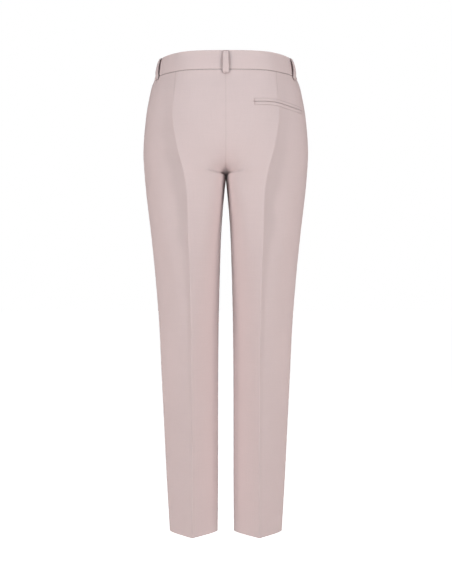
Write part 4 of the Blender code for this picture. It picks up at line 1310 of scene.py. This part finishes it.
class TrousersClothSettings(PropertyGroup):
    """Sizes and colour of the cloth."""

    thickness: FloatProperty(name="Thickness", description="Thickness of one layer of cloth",
                             default=0.0006, min=0.0004, max=0.0014, unit="LENGTH", precision=5)
    seam_allowance: FloatProperty(name="Seam allowance", description="Width of the cloth turned in at a seam",
                                  default=0.010, min=0.004, max=0.015, unit="LENGTH", precision=4)
    crease_round: FloatProperty(name="Crease rounding", description="How softly the pressed creases turn",
                                default=0.0014, min=0.0004, max=0.006, unit="LENGTH", precision=4)
    pucker_depth: FloatProperty(name="Seam pucker", description="Depth of the small puckers along the seams",
                                default=0.00014, min=0.0, max=0.001, unit="LENGTH", precision=5)
    fold_strength: FloatProperty(name="Folds", description="Strength of the soft folds of the worn cloth",
                                 default=1.0, min=0.0, max=2.0, subtype="FACTOR")
    # Strength of the shade painted in a band outside each crease
    painted_crease_shade_amount: FloatProperty(name="Press mark", description="How much the press dulls the cloth by a crease",
                              default=0.40, min=0.0, max=1.0, subtype="FACTOR")
    colour: FloatVectorProperty(name="Cloth colour", description="Colour of the cloth", subtype="COLOR",
                                default=(0.62, 0.50, 0.495), min=0.0, max=1.0)
    weave_pitch: FloatProperty(name="Weave pitch", description="Distance between two threads of the weave",
                               default=0.00045, min=0.0002, max=0.002, unit="LENGTH", precision=5)
    sheen: FloatProperty(name="Sheen", description="Soft light of the fibres at grazing angles",
                         default=0.08, min=0.0, max=1.0, subtype="FACTOR")
    roughness: FloatProperty(name="Roughness", description="How matt the cloth is",
                             default=0.72, min=0.0, max=1.0, subtype="FACTOR")


class TrousersTrimSettings(PropertyGroup):
    """Colours and sizes of thread, button and zip."""

    thread_colour: FloatVectorProperty(name="Thread colour", description="Colour of the sewing thread",
                                       subtype="COLOR", default=(0.60, 0.45, 0.44), min=0.0, max=1.0)
    button_colour: FloatVectorProperty(name="Button colour", description="Colour of the resin button",
                                       subtype="COLOR", default=(0.56, 0.42, 0.40), min=0.0, max=1.0)
    metal_colour: FloatVectorProperty(name="Metal colour", description="Colour of the zip's slider and tab",
                                      subtype="COLOR", default=(0.62, 0.60, 0.58), min=0.0, max=1.0)
    tape_colour: FloatVectorProperty(name="Tape colour", description="Colour of the zip's tapes and teeth",
                                     subtype="COLOR", default=(0.60, 0.46, 0.45), min=0.0, max=1.0)
    stitch_length: FloatProperty(name="Stitch length", description="Length of one stitch with its gap",
                                 default=0.0028, min=0.001, max=0.006, unit="LENGTH", precision=4)
    thread_radius: FloatProperty(name="Thread radius", description="Half the thickness of the sewing thread",
                                 default=0.00018, min=0.0001, max=0.0005, unit="LENGTH", precision=5)


class TrousersStageSettings(PropertyGroup):
    """Camera, floor and light."""

    camera_distance: FloatProperty(name="Camera distance", description="Distance of the camera from the part",
                                   default=1.95, min=0.5, max=6.0, unit="LENGTH")
    camera_height: FloatProperty(name="Camera height", description="Height of the camera from the waistband",
                                 default=-0.441, min=-2.0, max=2.0, unit="LENGTH")
    camera_aside: FloatProperty(name="Camera aside", description="Shift of the camera to the wearer's left",
                                default=-0.0004, min=-1.0, max=1.0, unit="LENGTH", precision=4)
    lens: FloatProperty(name="Lens", description="Focal length in millimetres", default=60.1,
                        min=20.0, max=200.0)
    floor_drop: FloatProperty(name="Floor drop", description="Distance of the floor below the hems",
                              default=0.35, min=0.0, max=2.0, unit="LENGTH")
    floor_colour: FloatVectorProperty(name="Floor colour", description="Colour of the pale floor",
                                      subtype="COLOR", default=(0.93, 0.93, 0.93), min=0.0, max=1.0)
    surround: FloatProperty(name="Surround", description="Strength of the white surround", default=1.0,
                            min=0.0, max=3.0)
    fill: FloatProperty(name="Fill", description="Strength of the soft light from all round", default=0.02,
                        min=0.0, max=3.0)
    fill_colour: FloatVectorProperty(name="Fill colour", description="Colour of the light from all round",
                                     subtype="COLOR", default=(1.0, 0.93, 0.92), min=0.0, max=1.0)
    floor_glow: FloatProperty(name="Floor glow", description="White that the floor shows with its own light",
                              default=1.0, min=0.0, max=2.0)
    light: FloatProperty(name="Light", description="Strength of all soft lights", default=1.0,
                         min=0.0, max=5.0)


# ---------------------------------------------------------------- operators

class TROUSERS_OT_add_panels(Operator):
    """Add the four cloth panels with their turned-in seams and hems."""

    bl_idname = "trousers.add_panels"
    bl_label = "Add Panels"

    def execute(self, context):
        cloth = context.scene.trousers_cloth
        for side in (BACK_SIDE, FRONT_SIDE):
            for hand, word in ((LEFT, "left"), (RIGHT, "right")):
                node = f"{side.name}_{word}"
                middle, half, flat, marks = panel_grid(cloth, side, hand)
                piece = add_sheet(f"cloth_{node}", middle, half, flat, marks, cloth_material(context),
                                  mirrored=hand == RIGHT)
                dress(piece, f"cloth_{node}", node)
        return {"FINISHED"}


class TROUSERS_OT_add_waistband(Operator):
    """Add both halves of the waistband, with the buttonhole cut in the right one."""

    bl_idname = "trousers.add_waistband"
    bl_label = "Add Waistband"

    def execute(self, context):
        for hand, word in ((LEFT, "left"), (RIGHT, "right")):
            middle, half, flat, marks = band_grid(hand)
            piece = add_sheet(f"cloth_waistband_{word}", middle, half, flat, marks, cloth_material(context),
                              mirrored=hand == RIGHT)
            if hand == RIGHT:
                self.cut_buttonhole(context, piece)
            dress(piece, "cloth_waistband", f"waistband_{word}")
        return {"FINISHED"}

    def cut_buttonhole(self, context, band):
        """Cuts the eyelet and its slit through the band."""
        place = near_middle(0.0, BUTTON_X)[0]
        bpy.ops.object.select_all(action="DESELECT")
        bpy.ops.mesh.primitive_cylinder_add(vertices=24, radius=EYELET_RADIUS * MM, depth=CUT_THROUGH * MM,
                                            location=Vector(place) * MM, rotation=(math.pi / 2, 0.0, 0.0))
        eyelet = context.active_object
        middle = Vector(place) - Vector((BUTTONHOLE_LENGTH / 2, 0, 0))
        bpy.ops.mesh.primitive_cube_add(size=1.0, location=middle * MM)
        slit = context.active_object
        slit.scale = (BUTTONHOLE_LENGTH * MM, CUT_THROUGH * MM, BUTTONHOLE_SLIT * MM)
        for tool in (eyelet, slit):
            cut_away(context, band, tool)


class TROUSERS_OT_add_belt_loops(Operator):
    """Add the five belt loops and the tacks that hold them."""

    bl_idname = "trousers.add_belt_loops"
    bl_label = "Add Belt Loops"

    def execute(self, context):
        loops = [("back", BACK_SIDE, 0.0, LEFT)]
        for hand, word in ((LEFT, "left"), (RIGHT, "right")):
            loops += [("side_" + word, BACK_SIDE, SIDE_LOOP_ROUND, hand),
                      ("front_" + word, FRONT_SIDE, FRONT_LOOP_ROUND, hand)]
        radius = context.scene.trousers_trims.thread_radius / MM
        for name, side, place, hand in loops:
            node = "belt_loop_" + name
            grids, tacks = self.loop_grid(side, place, hand)
            piece = add_sheet("cloth_" + node, *grids, cloth_material(context), mirrored=hand == RIGHT)
            dress(piece, "cloth_loops", node)
            tack = add_threads("tack_" + node, tacks, radius * TACK_THIN, thread_material(context))
            dress(tack, "cloth_loops")
            word = "right" if hand == RIGHT else "left"
        return {"FINISHED"}

    def loop_grid(self, side, place, hand):
        """Grids of one loop and the stitches of its two tacks."""
        top, foot = LOOP_ROWS[0].height, LOOP_ROWS[-1].height
        heights = grid_lines(foot, top, LOOP_ENDS, np.linspace(foot + 2.0, top - 2.0, 34))
        half_width = LOOP_WIDTH / 2
        inner = np.linspace(-half_width + 1.9, half_width - 1.9, 8)
        spots = grid_lines(-half_width, half_width, LOOP_ENDS, inner)
        middle = np.zeros((len(heights), len(spots), 3))
        for j, spot in enumerate(spots):
            narrow = 1.0 - LOOP_AT["narrow"](heights) / half_width
            aside = spot * narrow
            if place == 0.0:
                across = across_at_x(side, heights, np.abs(aside)[:, None])[:, 0]
            else:
                across = across_at_length(side, heights, (place + aside)[:, None])[:, 0]
            point = surface(side, heights, across)
            out = outward(side, heights, across)
            if place == 0.0:
                point[:, 0] = aside
                out[:, 0] = 0.0
                out = unit(out)
            crown = LOOP_CROWN * (1.0 - (spot / half_width) ** 2)
            sway = ripple(heights, LOOP_SWAY, int(place) + hand)
            lift = LOOP_AT["lift"](heights) + LOOP_AT["cloth"](heights) / 2 + crown + sway
            middle[:, j] = point + out * lift[:, None]
        border = np.minimum(heights - foot, top - heights)[:, None]
        edge = np.minimum(spots + half_width, half_width - spots)[None, :]
        half = LOOP_AT["cloth"](heights)[:, None] / 2
        half = half * edge_round(edge, LOOP_EDGE) * edge_round(border, LOOP_EDGE)
        flat = pair(spots[None, :], heights[:, None])
        # Painted highlight just inside the long edges; painted shade along the edges, at the foot and at the
        # lower tack
        pressed = 0.4 * hump(edge - 1.6, 0.8) * np.ones_like(half)
        tucked = 0.6 * hump(heights[:, None] - LOOP_TACK_FOOT, 0.8) * np.ones_like(half)
        tucked = tucked + 0.8 * hump(edge, 0.7) + 0.9 * hump(heights[:, None] - foot, 0.7)
        tacks = []
        for level, reach in ((LOOP_TACK_FOOT, half_width - 0.9), (LOOP_TACK_TOP, half_width - 1.2)):
            j = int(np.argmin(np.abs(heights - level)))
            for x in np.arange(-reach, reach + 0.01, TACK_STEP):
                at = [np.interp(x, spots, middle[j, :, k]) for k in range(3)]
                above = [np.interp(x, spots, middle[j + 1, :, k]) for k in range(3)]
                up = unit(np.array(above) - np.array(at))
                side_way = unit(middle[j, -1] - middle[j, 0])
                out = unit(np.cross(side_way, up))
                out = out if np.dot(out, [at[0], at[1], 0.0]) > 0 else -out
                face = np.array(at) + out * (LOOP_AT["cloth"](level) / 2 + 0.02)
                start, end = face - up * 0.8, face + up * 0.8 + side_way * 0.25
                tacks.append([v * np.array([hand if place else 1.0, 1.0, 1.0]) for v in (start, end, out)])
        return (middle, half, flat, {"pressed": pressed, "tucked": tucked}), tacks


class TROUSERS_OT_add_back_pocket(Operator):
    """Add the two lips of the welt pocket and the tacks at its ends."""

    bl_idname = "trousers.add_back_pocket"
    bl_label = "Add Back Pocket"

    def execute(self, context):
        cloth = context.scene.trousers_cloth
        for name, drop, shift in (("upper", 0.0, 0), ("lower", POCKET_LIP + POCKET_MOUTH, 1)):
            piece = add_sheet(f"cloth_pocket_lip_{name}", *self.lip_grid(cloth, drop, shift),
                              cloth_material(context), mirrored=True)
            dress(piece, "cloth_pocket", f"pocket_lip_{name}")
        radius = context.scene.trousers_trims.thread_radius / MM
        tack = add_threads("tack_pocket", self.end_tacks(cloth), radius * TACK_THIN, thread_material(context))
        dress(tack, "cloth_pocket")
        return {"FINISHED"}

    def places(self, cloth, levels, lengths):
        """Points of the back at the pocket with its relief, and the ways out of it."""
        rounds = run_round(BACK_SIDE, levels)
        across = np.array([np.interp(lengths, length, SAMPLES) for length in rounds])
        levels = levels[:, None]
        fallen = levels - pocket_fall(levels, lengths)
        point = surface(BACK_SIDE, fallen, across)
        out = outward(BACK_SIDE, fallen, across)
        to_crease, to_seam = rounds[:, CREASE_SAMPLE, None], rounds[:, -1:]
        lift = relief(cloth, BACK_SIDE, RIGHT, levels, lengths, to_crease, to_seam)
        return point + out * lift[..., None], out

    def lip_grid(self, cloth, drop, shift):
        """Grids of one lip; drop is how far its upper edge is below the pocket's top."""
        foot = drop + POCKET_LIP
        levels = grid_lines(drop, foot, LIP_ENDS, np.linspace(drop + 1.1, foot - 1.1, 5))[::-1]
        inner = np.arange(POCKET_START + 1.5, POCKET_END - 1.4, POCKET_CELL)
        lengths = grid_lines(POCKET_START, POCKET_END, LIP_ENDS, inner)
        part = (levels - drop) / POCKET_LIP * 2.0 - 1.0
        bulge = (1.0 - part * part)[:, None]
        point, out = self.places(cloth, POCKET_TOP - levels, lengths)
        lift = (ripple(lengths, LIP_WAVE, shift) + LIP_BULGE) * bulge - LIP_SUNK
        middle = point + out * lift[..., None]
        border = np.minimum(levels - drop, foot - levels)[:, None]
        edge = np.minimum(lengths - POCKET_START, POCKET_END - lengths)[None, :]
        half = POCKET_CLOTH / 2 * edge_round(border, LIP_ENDS[-1]) * edge_round(edge, LIP_ENDS[-1])
        flat = pair(lengths[None, :], -levels[:, None])
        # Painted highlight along the lips' borders; painted shade in the mouth, along the pocket's top edge,
        # at the lower lip's foot and at the end towards the side
        pressed = 0.5 * hump(border, 0.8) * np.ones_like(half)
        mouth = POCKET_LIP + POCKET_MOUTH / 2
        below = levels[:, None]
        tucked = 0.8 * hump(below - mouth, 0.8) * np.ones_like(half)
        tucked = tucked + (0.4 + 0.6 * smooth(lengths, 85.0, 125.0)) * hump(below, 1.1)
        tucked = tucked + 0.3 * hump(below - 2 * mouth, 0.8) + 0.9 * hump(POCKET_END - lengths, 1.3)
        return middle, half, flat, {"pressed": pressed, "tucked": tucked}

    def end_tacks(self, cloth):
        stitches = []
        tall = 2 * POCKET_LIP + POCKET_MOUTH
        levels = POCKET_TOP - np.arange(1.2, tall - 1.0, 0.45)
        turn = np.array([-1.0, 1.0, 1.0])
        for length in (POCKET_START + 0.9, POCKET_END - 0.9):
            reach = np.array([length - 0.7, length + 0.7])
            points, outs = self.places(cloth, levels, reach)
            points = points + outs * (POCKET_CLOTH / 2 + 0.05)
            stitches += [(ends[0] * turn, ends[1] * turn, out[0] * turn)
                         for ends, out in zip(points, outs)]
        return stitches


class TROUSERS_OT_add_button(Operator):
    """Add the button with its sewing and the stitches round the buttonhole."""

    bl_idname = "trousers.add_button"
    bl_label = "Add Button"

    def execute(self, context):
        place = near_middle(0.0, BUTTON_X)[0]
        button = self.turn_button(context, place)
        dress(button, "button", "button")
        radius = context.scene.trousers_trims.thread_radius / MM
        face = BAND_PROUD + BUTTON_CLEAR + BUTTON_THICKNESS - BUTTON_DISH
        out = np.array([0.0, -1.0, 0.0])
        spread = BUTTON_HOLE_SPREAD
        stitches = []
        for x, z in ((-1, 1), (1, 1)):
            for shift in (-0.32, 0.0, 0.32):
                side_way = np.array([0.7 * z, 0.0, -0.7 * x]) * shift
                start = place + out * face + np.array([x * spread, 0.0, z * spread]) + side_way
                end = place + out * face - np.array([x * spread, 0.0, z * spread]) + side_way
                stitches.append([start, end, out])
        sewing = add_threads("button_thread", stitches, radius * 1.4, thread_material(context))
        dress(sewing, "button")
        ring = add_threads("buttonhole_stitching", self.buttonhole_stitches(place), radius * 1.1,
                           thread_material(context))
        dress(ring, "cloth_waistband")
        return {"FINISHED"}

    def turn_button(self, context, place):
        """A disc with a raised rim, a dished face, four holes and a shank."""
        back = BAND_PROUD + BUTTON_CLEAR
        bpy.ops.object.select_all(action="DESELECT")
        bpy.ops.mesh.primitive_cylinder_add(vertices=64, radius=BUTTON_RADIUS * MM,
                                            depth=BUTTON_THICKNESS * MM)
        button = context.active_object
        button.name = "coat_button"
        bpy.ops.object.mode_set(mode="EDIT")
        bpy.ops.mesh.select_all(action="DESELECT")
        bpy.ops.mesh.select_mode(type="FACE")
        self.select_faces(button, 1)
        bpy.ops.mesh.inset(thickness=BUTTON_RIM * MM)
        bpy.ops.transform.translate(value=(0.0, 0.0, -BUTTON_DISH * MM))
        bpy.ops.mesh.inset(thickness=0.5 * MM)
        self.select_faces(button, -1)
        bpy.ops.mesh.inset(thickness=BUTTON_BACK_RIM * MM)
        bpy.ops.transform.translate(value=(0.0, 0.0, -BUTTON_BACK_DISH * MM))
        bpy.ops.mesh.inset(thickness=(BUTTON_RADIUS - BUTTON_BACK_RIM - BUTTON_SHANK_RADIUS) * MM)
        shank = (0.0, 0.0, -(BAND_CLOTH + 0.6) * MM)
        bpy.ops.mesh.extrude_region_move(TRANSFORM_OT_translate={"value": shank})
        bpy.ops.object.mode_set(mode="OBJECT")
        bevel = button.modifiers.new("edge", "BEVEL")
        bevel.width = BUTTON_BEVEL * MM
        bevel.segments = 3
        bevel.angle_limit = math.radians(28)
        bpy.ops.object.modifier_apply(modifier=bevel.name)
        for k in range(4):
            angle = math.radians(45 + 90 * k)
            spread = BUTTON_HOLE_SPREAD * math.sqrt(2) * MM
            bpy.ops.mesh.primitive_cylinder_add(
                vertices=24, radius=BUTTON_HOLE_RADIUS * MM, depth=2.2 * MM,
                location=(spread * math.cos(angle), spread * math.sin(angle), BUTTON_THICKNESS / 2 * MM))
            cut_away(context, button, context.active_object)
        bpy.ops.object.select_all(action="DESELECT")
        button.select_set(True)
        context.view_layer.objects.active = button
        button.rotation_euler = (math.pi / 2, 0.0, 0.0)
        button.location = (Vector(place) - Vector((0, back + BUTTON_THICKNESS / 2, 0))) * MM
        bpy.ops.object.transform_apply(location=True, rotation=True, scale=True)
        bpy.ops.object.shade_smooth_by_angle(angle=math.radians(35))
        button.data.materials.clear()
        button.data.materials.append(button_material(context))
        return button

    def select_faces(self, item, sign):
        """Selects the faces that look along +Z or -Z at the item's end."""
        work = bmesh.from_edit_mesh(item.data)
        level = max(sign * face.calc_center_median().z for face in work.faces)
        for face in work.faces:
            face.select_set(sign * face.calc_center_median().z > level - 1e-6)
        bmesh.update_edit_mesh(item.data)

    def buttonhole_stitches(self, place):
        """Stitches that stand round the eyelet and along both sides of the slit."""
        stitches = []
        out = np.array([0.0, -1.0, 0.0])
        inner, outer = BUTTONHOLE_SLIT / 2 + 0.15, BUTTONHOLE_SLIT / 2 + 1.5
        for x in np.arange(-BUTTONHOLE_LENGTH, -EYELET_RADIUS + 0.1, TACK_STEP):
            base = near_middle(0.0, BUTTON_X + x)[0]
            lift = out * (BAND_PROUD + 0.5)
            for sign in (-1, 1):
                start = base + lift + np.array([0.0, 0.0, sign * inner])
                end = base + lift + np.array([0.0, 0.0, sign * outer])
                stitches.append([start, end, out])
        for angle in np.radians(np.arange(-150, 151, 12)):
            ring = np.array([math.cos(angle), 0.0, math.sin(angle)])
            base = place + out * (BAND_PROUD + 0.2)
            stitches.append([base + ring * (EYELET_RADIUS + 0.1), base + ring * (EYELET_RADIUS + 1.4), out])
        return stitches


class TROUSERS_OT_add_zip(Operator):
    """Add the zip's tapes and teeth, and finish its slider and tab."""

    bl_idname = "trousers.add_zip"
    bl_label = "Add Zip"

    def execute(self, context):
        for word, table in (("left", LEFT_TAPE), ("right", RIGHT_TAPE)):
            piece = add_sheet(f"woven_zip_tape_{word}", *self.tape_grid(table), tape_material(context))
            teeth = self.teeth(context, word)
            dress(piece, "zip_tape", f"zip_tape_{word}")
            dress(teeth, "zip_tape")
        metal = metal_material(context)
        for node in ("zip_slider", "zip_pull_tab"):
            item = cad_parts[node]
            item.data.materials.clear()
            item.data.materials.append(metal)
        return {"FINISHED"}

    def tape_grid(self, table):
        """Grids of one tape, which steps back where its table does."""
        xs = np.array([column.x for column in table])
        order = np.argsort(xs)
        depths = np.array([column.depth for column in table])[order]
        xs = xs[order]
        spots = grid_lines(xs[0], xs[-1], TAPE_ENDS, np.linspace(xs[0] + 0.9, xs[-1] - 0.9, 12))
        heights = grid_lines(ZIP_FOOT, ZIP_TOP, TAPE_ENDS, np.linspace(ZIP_FOOT + 1.0, ZIP_TOP - 1.0, 40))
        deep = np.interp(spots, xs, depths) + ZIP_TAPE / 2
        middle = np.stack([near_middle(heights, x, depth) for x, depth in zip(spots, deep)], axis=1)
        edge = np.minimum(spots - xs[0], xs[-1] - spots)[None, :]
        border = np.minimum(heights - ZIP_FOOT, ZIP_TOP - heights)[:, None]
        half = ZIP_TAPE / 2 * edge_round(edge, TAPE_ENDS[-1]) * edge_round(border, TAPE_ENDS[-1])
        flat = pair(spots[None, :], heights[:, None])
        none = np.zeros_like(half)
        return middle, half, flat, {"pressed": none, "tucked": none}

    def teeth(self, context, word):
        """One tooth, shaped once and copied down the chain."""
        sign = 1.0 if word == "left" else -1.0
        bpy.ops.object.select_all(action="DESELECT")
        bpy.ops.mesh.primitive_cube_add(size=1.0)
        tooth = context.active_object
        tooth.scale = [side * MM for side in TOOTH_SIZE]
        bpy.ops.object.transform_apply(location=True, rotation=True, scale=True)
        bevel = tooth.modifiers.new("edge", "BEVEL")
        bevel.width = TOOTH_BEVEL * MM
        bevel.segments = 1
        bpy.ops.object.modifier_apply(modifier=bevel.name)
        base = np.array([tuple(v.co) for v in tooth.data.vertices])
        faces = [tuple(face.vertices) for face in tooth.data.polygons]
        bpy.data.objects.remove(tooth, do_unlink=True)
        points, all_faces = [], []
        start = ZIP_FOOT + 1.5 + (TOOTH_PITCH / 2 if word == "left" else 0.0)
        for level in np.arange(start, ZIP_TOP - 1.0, TOOTH_PITCH):
            place = near_middle(level, ZIP_MIDDLE_X + sign * TOOTH_ASIDE, ZIP_DEPTH - TOOTH_PROUD)[0]
            first = len(points)
            points += [tuple(point + place * MM) for point in base]
            all_faces += [tuple(i + first for i in face) for face in faces]
        mesh = bpy.data.meshes.new(f"zip_teeth_{word}")
        mesh.from_pydata(points, [], all_faces)
        recalculate(mesh)
        mesh.materials.append(tooth_material(context))
        return link(f"zip_teeth_{word}", mesh)


def tooth_material(context):
    """Moulded nylon, matt, in the tape's colour."""
    found = bpy.data.materials.get("zip_nylon")
    if found:
        return found
    colour = tuple(context.scene.trousers_trims.tape_colour)
    material, tree, shader = new_material("zip_nylon", colour, 0.4)
    place = tree.nodes.new("ShaderNodeTexCoord")
    rub = place_group(tree, "Rubbed finish", Scale=1200.0, Low=0.3, High=0.5)
    tree.links.new(place.outputs["Object"], rub.inputs["Vector"])
    tree.links.new(rub.outputs["Roughness"], shader.inputs["Roughness"])
    tree.links.new(mix_colour(tree, rub.outputs["Mask"], shaded(colour, 0.9), shaded(colour, 1.08)),
                   shader.inputs["Base Color"])
    return material


class TROUSERS_OT_add_fly_stitching(Operator):
    """Add the curved line of stitches that holds the fly."""

    bl_idname = "trousers.add_fly_stitching"
    bl_label = "Add Fly Stitching"

    def execute(self, context):
        cloth = context.scene.trousers_cloth
        trims = context.scene.trousers_trims
        line = [(FLY_STITCH_X, z) for z in np.linspace(BAND_SEAM - 1.5, FLY_STITCH_TURN, 60)]
        for angle in np.linspace(0.0, math.pi / 2, 40)[1:]:
            line.append((FLY_STITCH_END + (FLY_STITCH_X - FLY_STITCH_END) * math.cos(angle),
                         FLY_STITCH_TURN + (FLY_FOOT - 2.0 - FLY_STITCH_TURN) * math.sin(angle)))
        xs, heights = np.array(line).T
        points, outs = on_panel(cloth, FRONT_SIDE, RIGHT, heights, xs)
        lengths = np.concatenate([[0.0], np.cumsum(np.linalg.norm(np.diff(points, axis=0), axis=1))])
        pitch = trims.stitch_length / MM

        def at(values, length):
            return np.array([np.interp(length, lengths, values[:, k]) for k in range(3)])

        stitches = []
        for start in np.arange(0.4, lengths[-1] - pitch, pitch):
            end = start + pitch * 0.82
            stitches.append([at(points, start), at(points, end), unit(at(outs, start))])
        radius = trims.thread_radius / MM
        piece = add_threads("fly_stitching", stitches, radius, thread_material(context))
        dress(piece, "cloth_front_right")
        return {"FINISHED"}


class TROUSERS_OT_set_stage(Operator):
    """Set the pale floor, the soft lights and the camera behind the garment."""

    bl_idname = "trousers.set_stage"
    bl_label = "Set Stage"

    def execute(self, context):
        stage = context.scene.trousers_stage
        self.lay_floor(context, stage)
        self.set_surround(context, stage)
        for lamp in LAMPS:
            for sign, word in ((1.0, "left"), (-1.0, "right")) if lamp.x else ((1.0, "middle"),):
                self.add_light(f"{lamp.name}_{word}", lamp, sign, stage.light)
        camera = bpy.data.objects.new("camera", bpy.data.cameras.new("camera"))
        context.scene.collection.objects.link(camera)
        camera.data.lens = stage.lens
        camera.data.sensor_width = 36.0
        camera.data.sensor_fit = "AUTO"
        camera.location = (stage.camera_aside, stage.camera_distance, stage.camera_height)
        camera.rotation_euler = (math.pi / 2, 0.0, math.pi)
        context.scene.camera = camera
        context.scene.view_settings.view_transform = "Standard"
        return {"FINISHED"}

    def lay_floor(self, context, stage):
        """A large pale sheet below the hems, with a little unevenness in its shade."""
        bpy.ops.object.select_all(action="DESELECT")
        bpy.ops.mesh.primitive_circle_add(vertices=96, radius=FLOOR_RADIUS, fill_type="NGON",
                                          location=(0.0, 0.0, HEM * MM - stage.floor_drop))
        floor = context.active_object
        floor.name = "floor"
        material, tree, shader = new_material("pale_floor", tuple(stage.floor_colour), 0.85)
        place = tree.nodes.new("ShaderNodeTexCoord")
        cloud = place_group(tree, "Soft clouding", Large=1.2, Small=30.0)
        tree.links.new(place.outputs["Object"], cloud.inputs["Vector"])
        colour = tuple(stage.floor_colour)
        tree.links.new(mix_colour(tree, cloud.outputs["Shade"], shaded(colour, 0.99), shaded(colour, 1.01)),
                       shader.inputs["Base Color"])
        seen = tree.nodes.new("ShaderNodeLightPath")
        glow = math_node(tree, "MULTIPLY", seen.outputs["Is Camera Ray"], stage.floor_glow)
        shader.inputs["Emission Color"].default_value = (1.0, 1.0, 1.0, 1.0)
        tree.links.new(glow, shader.inputs["Emission Strength"])
        floor.data.materials.append(material)

    def set_surround(self, context, stage):
        """White to look at, and a dimmer warm light on the cloth."""
        world = bpy.data.worlds.new("white_surround")
        world.use_nodes = True
        tree = world.node_tree
        white = tree.nodes["Background"]
        white.inputs["Color"].default_value = (1.0, 1.0, 1.0, 1.0)
        white.inputs["Strength"].default_value = stage.surround
        fill = tree.nodes.new("ShaderNodeBackground")
        fill.inputs["Color"].default_value = (*stage.fill_colour, 1.0)
        fill.inputs["Strength"].default_value = stage.fill
        seen = tree.nodes.new("ShaderNodeLightPath")
        mix = tree.nodes.new("ShaderNodeMixShader")
        tree.links.new(seen.outputs["Is Camera Ray"], mix.inputs[0])
        tree.links.new(fill.outputs[0], mix.inputs[1])
        tree.links.new(white.outputs[0], mix.inputs[2])
        tree.links.new(mix.outputs[0], tree.nodes["World Output"].inputs["Surface"])
        context.scene.world = world

    def add_light(self, name, lamp, sign, strength):
        light = bpy.data.lights.new(name, "AREA")
        light.shape = "RECTANGLE"
        light.size, light.size_y = lamp.width, lamp.tall
        light.energy = lamp.watts * strength
        light.color = lamp.colour
        light.spread = math.radians(lamp.spread)
        item = bpy.data.objects.new(name, light)
        bpy.context.scene.collection.objects.link(item)
        place = Vector((sign * lamp.x, lamp.y, lamp.z))
        item.location = place
        item.rotation_euler = (Vector((0.0, 0.0, lamp.looks_at)) - place).to_track_quat("-Z", "Y").to_euler()
        item.visible_camera = False


class TROUSERS_PT_panel(Panel):
    """Buttons and settings for the trousers."""

    bl_idname = "TROUSERS_PT_panel"
    bl_label = "Cigarette Trousers"
    bl_space_type = "VIEW_3D"
    bl_region_type = "UI"
    bl_category = "Trousers"

    def draw(self, context):
        layout = self.layout
        for operator in OPERATORS:
            layout.operator(operator.bl_idname)
        scene = context.scene
        for group in (scene.trousers_cloth, scene.trousers_trims, scene.trousers_stage):
            box = layout.box()
            for name in group.__annotations__:
                box.prop(group, name)


OPERATORS = (
    TROUSERS_OT_set_stage,
    TROUSERS_OT_add_panels,
    TROUSERS_OT_add_waistband,
    TROUSERS_OT_add_belt_loops,
    TROUSERS_OT_add_back_pocket,
    TROUSERS_OT_add_button,
    TROUSERS_OT_add_zip,
    TROUSERS_OT_add_fly_stitching,
)
CLASSES = (TrousersClothSettings, TrousersTrimSettings, TrousersStageSettings, *OPERATORS, TROUSERS_PT_panel)


def register():
    for item in CLASSES:
        bpy.utils.register_class(item)
    bpy.types.Scene.trousers_cloth = PointerProperty(type=TrousersClothSettings)
    bpy.types.Scene.trousers_trims = PointerProperty(type=TrousersTrimSettings)
    bpy.types.Scene.trousers_stage = PointerProperty(type=TrousersStageSettings)


def unregister():
    del bpy.types.Scene.trousers_stage
    del bpy.types.Scene.trousers_trims
    del bpy.types.Scene.trousers_cloth
    for item in reversed(CLASSES):
        bpy.utils.unregister_class(item)


def main():
    """Builds the whole scene."""
    register()
    bpy.ops.trousers.set_stage()
    bpy.ops.trousers.add_panels()
    bpy.ops.trousers.add_waistband()
    bpy.ops.trousers.add_belt_loops()
    bpy.ops.trousers.add_back_pocket()
    bpy.ops.trousers.add_button()
    bpy.ops.trousers.add_zip()
    bpy.ops.trousers.add_fly_stitching()
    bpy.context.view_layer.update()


if __name__ == "__main__":
    main()
